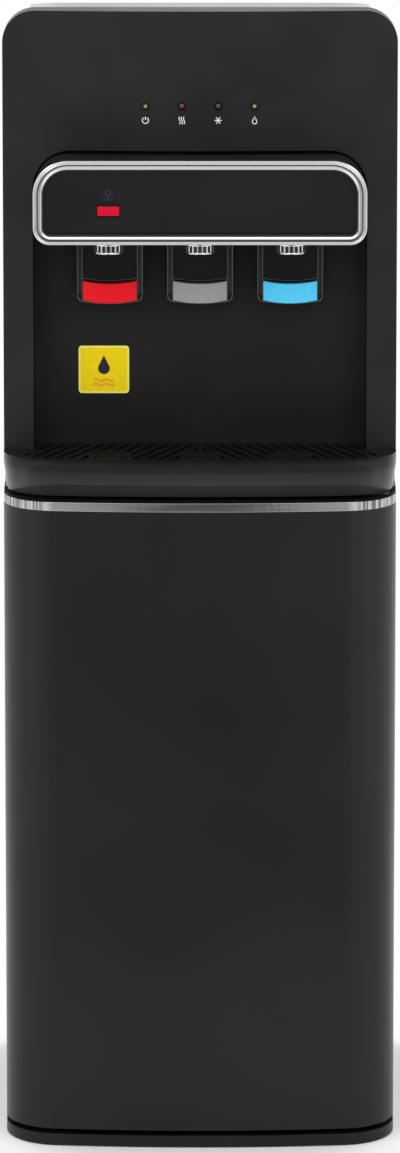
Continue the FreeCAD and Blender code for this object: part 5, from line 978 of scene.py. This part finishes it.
# %% Ring and painted seam shade
BEAD_RADIUS = 1.0 * MM
BEAD_INSET = 1.3 * MM
BAND_SECTION = (
    (2.35, 0.30), (2.6, 0.75), (2.9, 0.95), (3.3, 1.0), (7.2, 0.52), (7.5, 0.35), (7.6, 0.0))
SEAM_SHADE_SECTION = ((7.5, 0.1), (7.75, 0.38), (8.3, 0.2), (9.1, -0.4), (9.15, -3.4))
ring_section = []
for turn in range(0, 151, 15):
    angle = math.radians(turn)
    ring_section.append((BEAD_INSET - BEAD_RADIUS * math.cos(angle), BEAD_RADIUS * math.sin(angle)))
ring_section += in_mm(BAND_SECTION)
relief = bmesh.new()
add_sweep(relief, ring_section, RING_FRONT)
add_piece("ring_relief", relief, chrome, "cabinet")
# Painted shade: a black strip in the seam between the ring and the face stands for the shade there.
seam_shade = bmesh.new()
add_sweep(seam_shade, in_mm(SEAM_SHADE_SECTION), RING_FRONT)
add_piece("ring_gasket", seam_shade, rubber_black, "cabinet")
print("ring relief faces:", len(ring_outline(0)) * (len(ring_section) - 1))

# %% [markdown]
# ## Nozzle sleeves
#
# Under each tap a bright nozzle ends in a flow straightener: a short sleeve whose wall is pierced by
# upright windows, with shade behind them. A dark tube round the CAD neck paints that shade in the
# depth of the windows, and bright bars and two rims round it leave the windows free. Nothing is cut
# into the CAD.

# %% Nozzle sleeves
NOZZLE_Y = -158 * MM
TAP_XS = [v * MM for v in (-79, 0, 79)]
SLEEVE_LOW = 793.2 * MM
BAR_COUNT = 18
BAR_LOW = (11.4 * MM, -0.6 * MM, 1.6 * MM)
BAR_HIGH = (12.15 * MM, 0.6 * MM, 7.8 * MM)
SHADE_TUBE_PROFILE = in_mm(((11.6, 0.4), (11.6, 9.8)))
RIM_PROFILES = (
    in_mm(((10.4, 0), (11.9, 0.0), (12.4, 0.5), (12.5, 1.2), (12.2, 1.8), (11.5, 2.0))),
    in_mm(((11.5, 7.4), (12.3, 7.6), (12.4, 8.4), (12.4, 9.8))),
)
for tap, tap_x in zip(TAPS, TAP_XS):
    place = Matrix.Translation((tap_x, NOZZLE_Y, SLEEVE_LOW))
    # Painted shade: a black tube behind the windows stands for the shade inside the sleeve.
    shade_tube = bmesh.new()
    add_turned(shade_tube, SHADE_TUBE_PROFILE, place)
    add_piece(f"nozzle_gap_{tap}", shade_tube, rubber_black, "cabinet")
    bright = bmesh.new()
    for profile in RIM_PROFILES:
        add_turned(bright, profile, place, 48)
    for number in range(BAR_COUNT):
        turn = Matrix.Rotation(2 * math.pi * number / BAR_COUNT, 4, "Z")
        verts = add_box(bright, BAR_LOW, BAR_HIGH)
        bmesh.ops.transform(bright, matrix=place @ turn, verts=verts)
    add_piece(f"nozzle_sleeve_{tap}", bright, chrome, "cabinet")
print("nozzle sleeves:", len(TAP_XS), "with", BAR_COUNT, "bars each")

# %% [markdown]
# ## Lips of the levers
#
# Each lever's flanges end in a thin polished lip, which catches a line of light all the way round:
# the lever is black on black, and these lines are what draws it. A lip is a fine half-round rod
# swept along the flange's edge, and a shallow arc gives the edges that hang down in the middle.

# %% Rod and arc
def add_rod(shape, points, radius, y, steps=6):
    """A half-round rod along (x, z) points, on the plane at y."""
    rings = []
    for number, point in enumerate(points):
        before = Vector(points[max(number - 1, 0)])
        after = Vector(points[min(number + 1, len(points) - 1)])
        along = (after - before).normalized()
        aside = Vector((-along.y, along.x))
        ring = []
        for step in range(steps + 1):
            angle = math.pi * step / steps
            shift = aside * radius * math.cos(angle)
            depth = y - radius * math.sin(angle)
            ring.append(shape.verts.new((point[0] + shift.x, depth, point[1] + shift.y)))
        rings.append(ring)
    for first, second in zip(rings, rings[1:]):
        for step in range(steps):
            shape.faces.new([first[step], first[step + 1], second[step + 1], second[step]])


def smile(half, ends_z, sag, steps=12):
    """A shallow arc that hangs down in the middle, from left to right."""
    points = []
    for step in range(steps + 1):
        share = 2 * step / steps - 1
        points.append((half * share, ends_z - sag * (1 - share * share)))
    return points


print("points of a lip's arc:", len(smile(1, 0, 1)))

# %% [markdown]
# One lip runs down one flange, round the bottom and up the other. Two finer ones edge the flanges on
# the inside, and one more lies across each lever low down and one higher up. Between the inner and
# outer lips each flange shows a flat satin face, whose colour is painted paler than the lever's
# polished hollow: a painted sheen, the light that these faces catch. All of them ride on their lever
# and tilt with it.

# %% Outlines of the lips
LEVER_FRONT = -105 * MM
LEVER_LOW = 740.8 * MM
LIP_TOP = 800 * MM
LIP_RADIUS = 0.42 * MM
OUTER_HALF = 28.4 * MM
INNER_HALF = 24.0 * MM
LEVER_CORNER = 6 * MM
SAG = 2.2 * MM
BROW_Z = 763.6 * MM
corner_middle = (-OUTER_HALF + LEVER_CORNER, LEVER_LOW + SAG + LEVER_CORNER)
left_corner = arc(LEVER_CORNER, 180, 262, 8, corner_middle)
right_corner = [(-x, z) for x, z in reversed(left_corner)]
bottom = smile(OUTER_HALF - LEVER_CORNER - 1 * MM, LEVER_LOW + SAG + 0.3 * MM, SAG)
outer = [(-OUTER_HALF, LIP_TOP)] + left_corner + bottom + right_corner + [(OUTER_HALF, LIP_TOP)]
lower = smile(INNER_HALF - 0.6 * MM, LEVER_LOW + SAG + 0.5 * MM, SAG)
brow = smile(INNER_HALF - 0.6 * MM, BROW_Z, SAG)
print("points round a lever:", len(outer))

# %% Lips and flange faces
# Painted sheen: the flange faces are a paler copy of the lever's black, for the light they catch.
painted_sheen_flange = moulded_black("Lever flange painted sheen", (0.016, 0.016, 0.016), 0.30, 0.40, 0.00001)
lip_polish, lip_shader = new_finish("Polished lip", (0.11, 0.115, 0.115), 0.26, 1.0)
vary_roughness(lip_polish, lip_shader, 0.18, 0.30, 0.004)
grain(lip_polish, lip_shader, 0.001, 0.000005)
for tap, tap_x in zip(TAPS, TAP_XS):
    lips = bmesh.new()
    add_rod(lips, [(tap_x + x, z) for x, z in outer], LIP_RADIUS, LEVER_FRONT)
    for side in (-1, 1):
        x = tap_x + side * INNER_HALF
        upright = [(x, LIP_TOP), (x, LEVER_LOW + 3.0 * MM)]
        add_rod(lips, upright, LIP_RADIUS * 0.7, LEVER_FRONT)
    add_rod(lips, [(tap_x + x, z) for x, z in lower], LIP_RADIUS, LEVER_FRONT - 1.8 * MM)
    add_rod(lips, [(tap_x + x, z) for x, z in brow], LIP_RADIUS, LEVER_FRONT + 0.9 * MM)
    add_piece(f"lever_lips_{tap}", lips, lip_polish, f"{tap}_lever")
    faces = bmesh.new()
    for side in (-1, 1):
        left, right = sorted((tap_x + side * INNER_HALF, tap_x + side * OUTER_HALF))
        low = (left, LEVER_FRONT - 0.12 * MM, LEVER_LOW + 9 * MM)
        add_box(faces, low, (right, LEVER_FRONT, LIP_TOP))
    name = f"lever_faces_{tap}"
    add_piece(name, faces, painted_sheen_flange, f"{tap}_lever", smooth=False)
print("levers with lips:", len(TAP_XS))

# %% [markdown]
# ## Screws
#
# The back panels are held by small cross-head screws. A turned dome reads as a screw at this scale,
# and two dark bars on it paint the shade in its cross recess; a lathe profile and two thin boxes do
# it.

# %% Screw heads
PANEL_BACK = 152 * MM
SCREW_RADIUS = 3.5 * MM
SCREW_HEIGHTS = (60, 300, 540, 640, 780, 930)
SCREW_PLACES = in_mm((sign * 160, height) for sign in (-1, 1) for height in SCREW_HEIGHTS)
DOME_SHAPE = ((1, 0), (1, 0.5), (0.8, 1.3), (0.45, 1.7), (0, 1.8))
DOME_PROFILE = [(SCREW_RADIUS * share, height * MM) for share, height in DOME_SHAPE]
CROSS_LONG = SCREW_RADIUS * 0.55
CROSS_THIN = SCREW_RADIUS * 0.12


def add_screw(name, place):
    """A domed screw head whose axis is the place's Z axis."""
    head = bmesh.new()
    add_turned(head, DOME_PROFILE, place, 20)
    add_piece(name, head, screw_steel, "cabinet")
    # Painted shade: two black bars stand for the shade in the cross recess.
    recess_shade = bmesh.new()
    for x, y in ((CROSS_LONG, CROSS_THIN), (CROSS_THIN, CROSS_LONG)):
        verts = add_box(recess_shade, (-x, -y, 1.2 * MM), (x, y, 1.85 * MM))
        bmesh.ops.transform(recess_shade, matrix=place, verts=verts)
    add_piece(name + "_cross", recess_shade, rubber_black, "cabinet", smooth=False)


for number, (x, z) in enumerate(SCREW_PLACES):
    add_screw(f"back_screw_{number}", Matrix.Translation((x, PANEL_BACK, z)) @ FACING_BACK)
print("back screws:", len(SCREW_PLACES))

# %% [markdown]
# ## Studio
#
# The photo has a white background cut right to the machine, and a soft dark line where it stands.
# The floor is a plain square sheet.

# %% Floor
FLOOR_HALF = 0.85
floor_mesh = bpy.data.meshes.new("Studio floor")
floor_shape = bmesh.new()
corners = [floor_shape.verts.new((x, y, 0)) for x, y in ((-1, -1), (1, -1), (1, 1), (-1, 1))]
bmesh.ops.scale(floor_shape, vec=(FLOOR_HALF, FLOOR_HALF, 1), verts=floor_shape.verts)
floor_shape.faces.new(corners)
floor_shape.to_mesh(floor_mesh)
floor_shape.free()
floor = bpy.data.objects.new("Studio floor", floor_mesh)
bpy.context.scene.collection.objects.link(floor)
floor_white, floor_shader = new_finish("White sweep", (0.86, 0.86, 0.86), 0.9)
floor_mesh.materials.append(floor_white)
print("floor reaches", 2 * FLOOR_HALF, "m")

# %% [markdown]
# The floor is diffuse white near the machine, where it catches the soft shadow, and turns into
# plain white further out. The change is worked out from the distance to the machine's middle, and
# the plain white is for the camera alone, so it adds no light to the machine.

# %% Floor finish
SHADOW_REACH = 0.20
WHITE_FROM = 0.45


def mix_shaders(tree, share, first, second, output):
    """Ends a material or a world in a mix of two shaders."""
    mix = tree.nodes.new("ShaderNodeMixShader")
    for source, target in zip((share, first, second), mix.inputs):
        link(tree, source, target)
    link(tree, mix.outputs["Shader"], tree.nodes[output].inputs["Surface"])


tree = floor_white.node_tree
place = tree.nodes.new("ShaderNodeTexCoord")
reach = tree.nodes.new("ShaderNodeVectorMath")
reach.operation = "LENGTH"
link(tree, place.outputs["Object"], reach.inputs[0])
fade = add_range(tree, reach.outputs["Value"], SHADOW_REACH, WHITE_FROM, smooth=True)
rays = tree.nodes.new("ShaderNodeLightPath")
shown = add_math(tree, "MULTIPLY", fade, rays.outputs["Is Camera Ray"])
plain = tree.nodes.new("ShaderNodeEmission")
diffuse = floor_shader.outputs["BSDF"]
mix_shaders(tree, shown, diffuse, plain.outputs["Emission"], "Material Output")
print("plain white from", WHITE_FROM, "m")

# %% [markdown]
# The surroundings decide what a black, glossy machine shows. They are dim straight behind the camera
# and brighter to the sides: the bowed door then turns pale towards its edges, as in the photo. The
# parts of a direction give the level: X how far aside it points, Y whether it points past the
# machine, and Z whether it points up or down.

# %% Brightness of the surroundings
FRONT_LEVEL = 0.10
NEAR_LEVEL = 0.42
SIDE_LEVEL = 1.0
TOP_LEVEL = 0.35
BELOW_LEVEL = 0.8
world = bpy.data.worlds.new("White studio")
world.use_nodes = True
bpy.context.scene.world = world
tree = world.node_tree
direction = tree.nodes.new("ShaderNodeTexCoord")
split = tree.nodes.new("ShaderNodeSeparateXYZ")
link(tree, direction.outputs["Generated"], split.inputs[0])
across, back, up = (split.outputs[axis] for axis in "XYZ")


def level_over(source, low, high, first, second):
    """A level that changes smoothly with one part of the direction."""
    return add_range(tree, source, low, high, first, second, smooth=True)


sideways = add_math(tree, "ABSOLUTE", across)
near = level_over(sideways, 0.08, 0.20, FRONT_LEVEL, NEAR_LEVEL)
far = level_over(sideways, 0.20, 0.66, 0.0, SIDE_LEVEL - NEAR_LEVEL)
past = level_over(back, -0.6, 0.0, 0.0, SIDE_LEVEL)
above = level_over(up, 0.15, 0.8, 0.0, TOP_LEVEL)
below = level_over(up, -0.22, -0.45, 0.0, BELOW_LEVEL)
level = add_math(tree, "MAXIMUM", add_math(tree, "ADD", near, far), past)
level = add_math(tree, "ADD", level, add_math(tree, "ADD", above, below))
surround = tree.nodes["Background"]
surround.inputs["Color"].default_value = (1.0, 1.0, 1.0, 1.0)
link(tree, level, surround.inputs["Strength"])
print("surroundings from", FRONT_LEVEL, "in front to", SIDE_LEVEL, "at the sides")

# %% [markdown]
# The camera itself sees plain white, mixed in by Light Path. Mirrored and refracted rays see that
# white too where they point to the back of the studio, as real chrome would.

# %% White backdrop
white = tree.nodes.new("ShaderNodeBackground")
white.inputs["Color"].default_value = (1.0, 1.0, 1.0, 1.0)
white.inputs["Strength"].default_value = 1.0
rays = tree.nodes.new("ShaderNodeLightPath")
behind = level_over(back, -0.1, 0.4, 0.0, 1.0)
bounced = (rays.outputs["Is Glossy Ray"], rays.outputs["Is Transmission Ray"])
mirrored = add_math(tree, "MAXIMUM", *bounced)
seen = add_math(tree, "MULTIPLY", mirrored, behind)
seen = add_math(tree, "MAXIMUM", rays.outputs["Is Camera Ray"], seen)
dim = surround.outputs["Background"]
mix_shaders(tree, seen, dim, white.outputs["Background"], "World Output")
print("world ready")

# %% [markdown]
# Four large soft boxes hang high round the machine: a wide one in front, a weak one from the left,
# and two behind. They are high enough that the upright front doesn't mirror them into the lens, and
# large enough that their shadows stay soft.

# %% Soft boxes
AIM = Vector((0, 0, 0.55))


def add_lamp(name, place, width, height, power):
    """A soft box that faces the middle of the machine."""
    data = bpy.data.lights.new(name, "AREA")
    data.shape = "RECTANGLE"
    data.size = width
    data.size_y = height
    data.energy = power
    lamp = bpy.data.objects.new(name, data)
    lamp.location = place
    lamp.rotation_euler = (AIM - Vector(place)).to_track_quat("-Z", "Y").to_euler()
    bpy.context.scene.collection.objects.link(lamp)


add_lamp("Front box", (0.3, -3.5, 2.5), 5.0, 2.0, 54)
add_lamp("Key box", (-1.8, -2.3, 2.9), 1.8, 1.8, 8)
add_lamp("Back box left", (-1.8, 2.2, 2.8), 1.8, 1.8, 12)
add_lamp("Back box right", (1.8, 2.2, 2.8), 1.8, 1.8, 12)
view_settings = bpy.context.scene.view_settings
view_settings.view_transform = "Standard"
print("soft boxes:", len(bpy.data.lights))

# %% [markdown]
# Last, the view layer is brought up to date.

# %% Last update
bpy.context.view_layer.update()
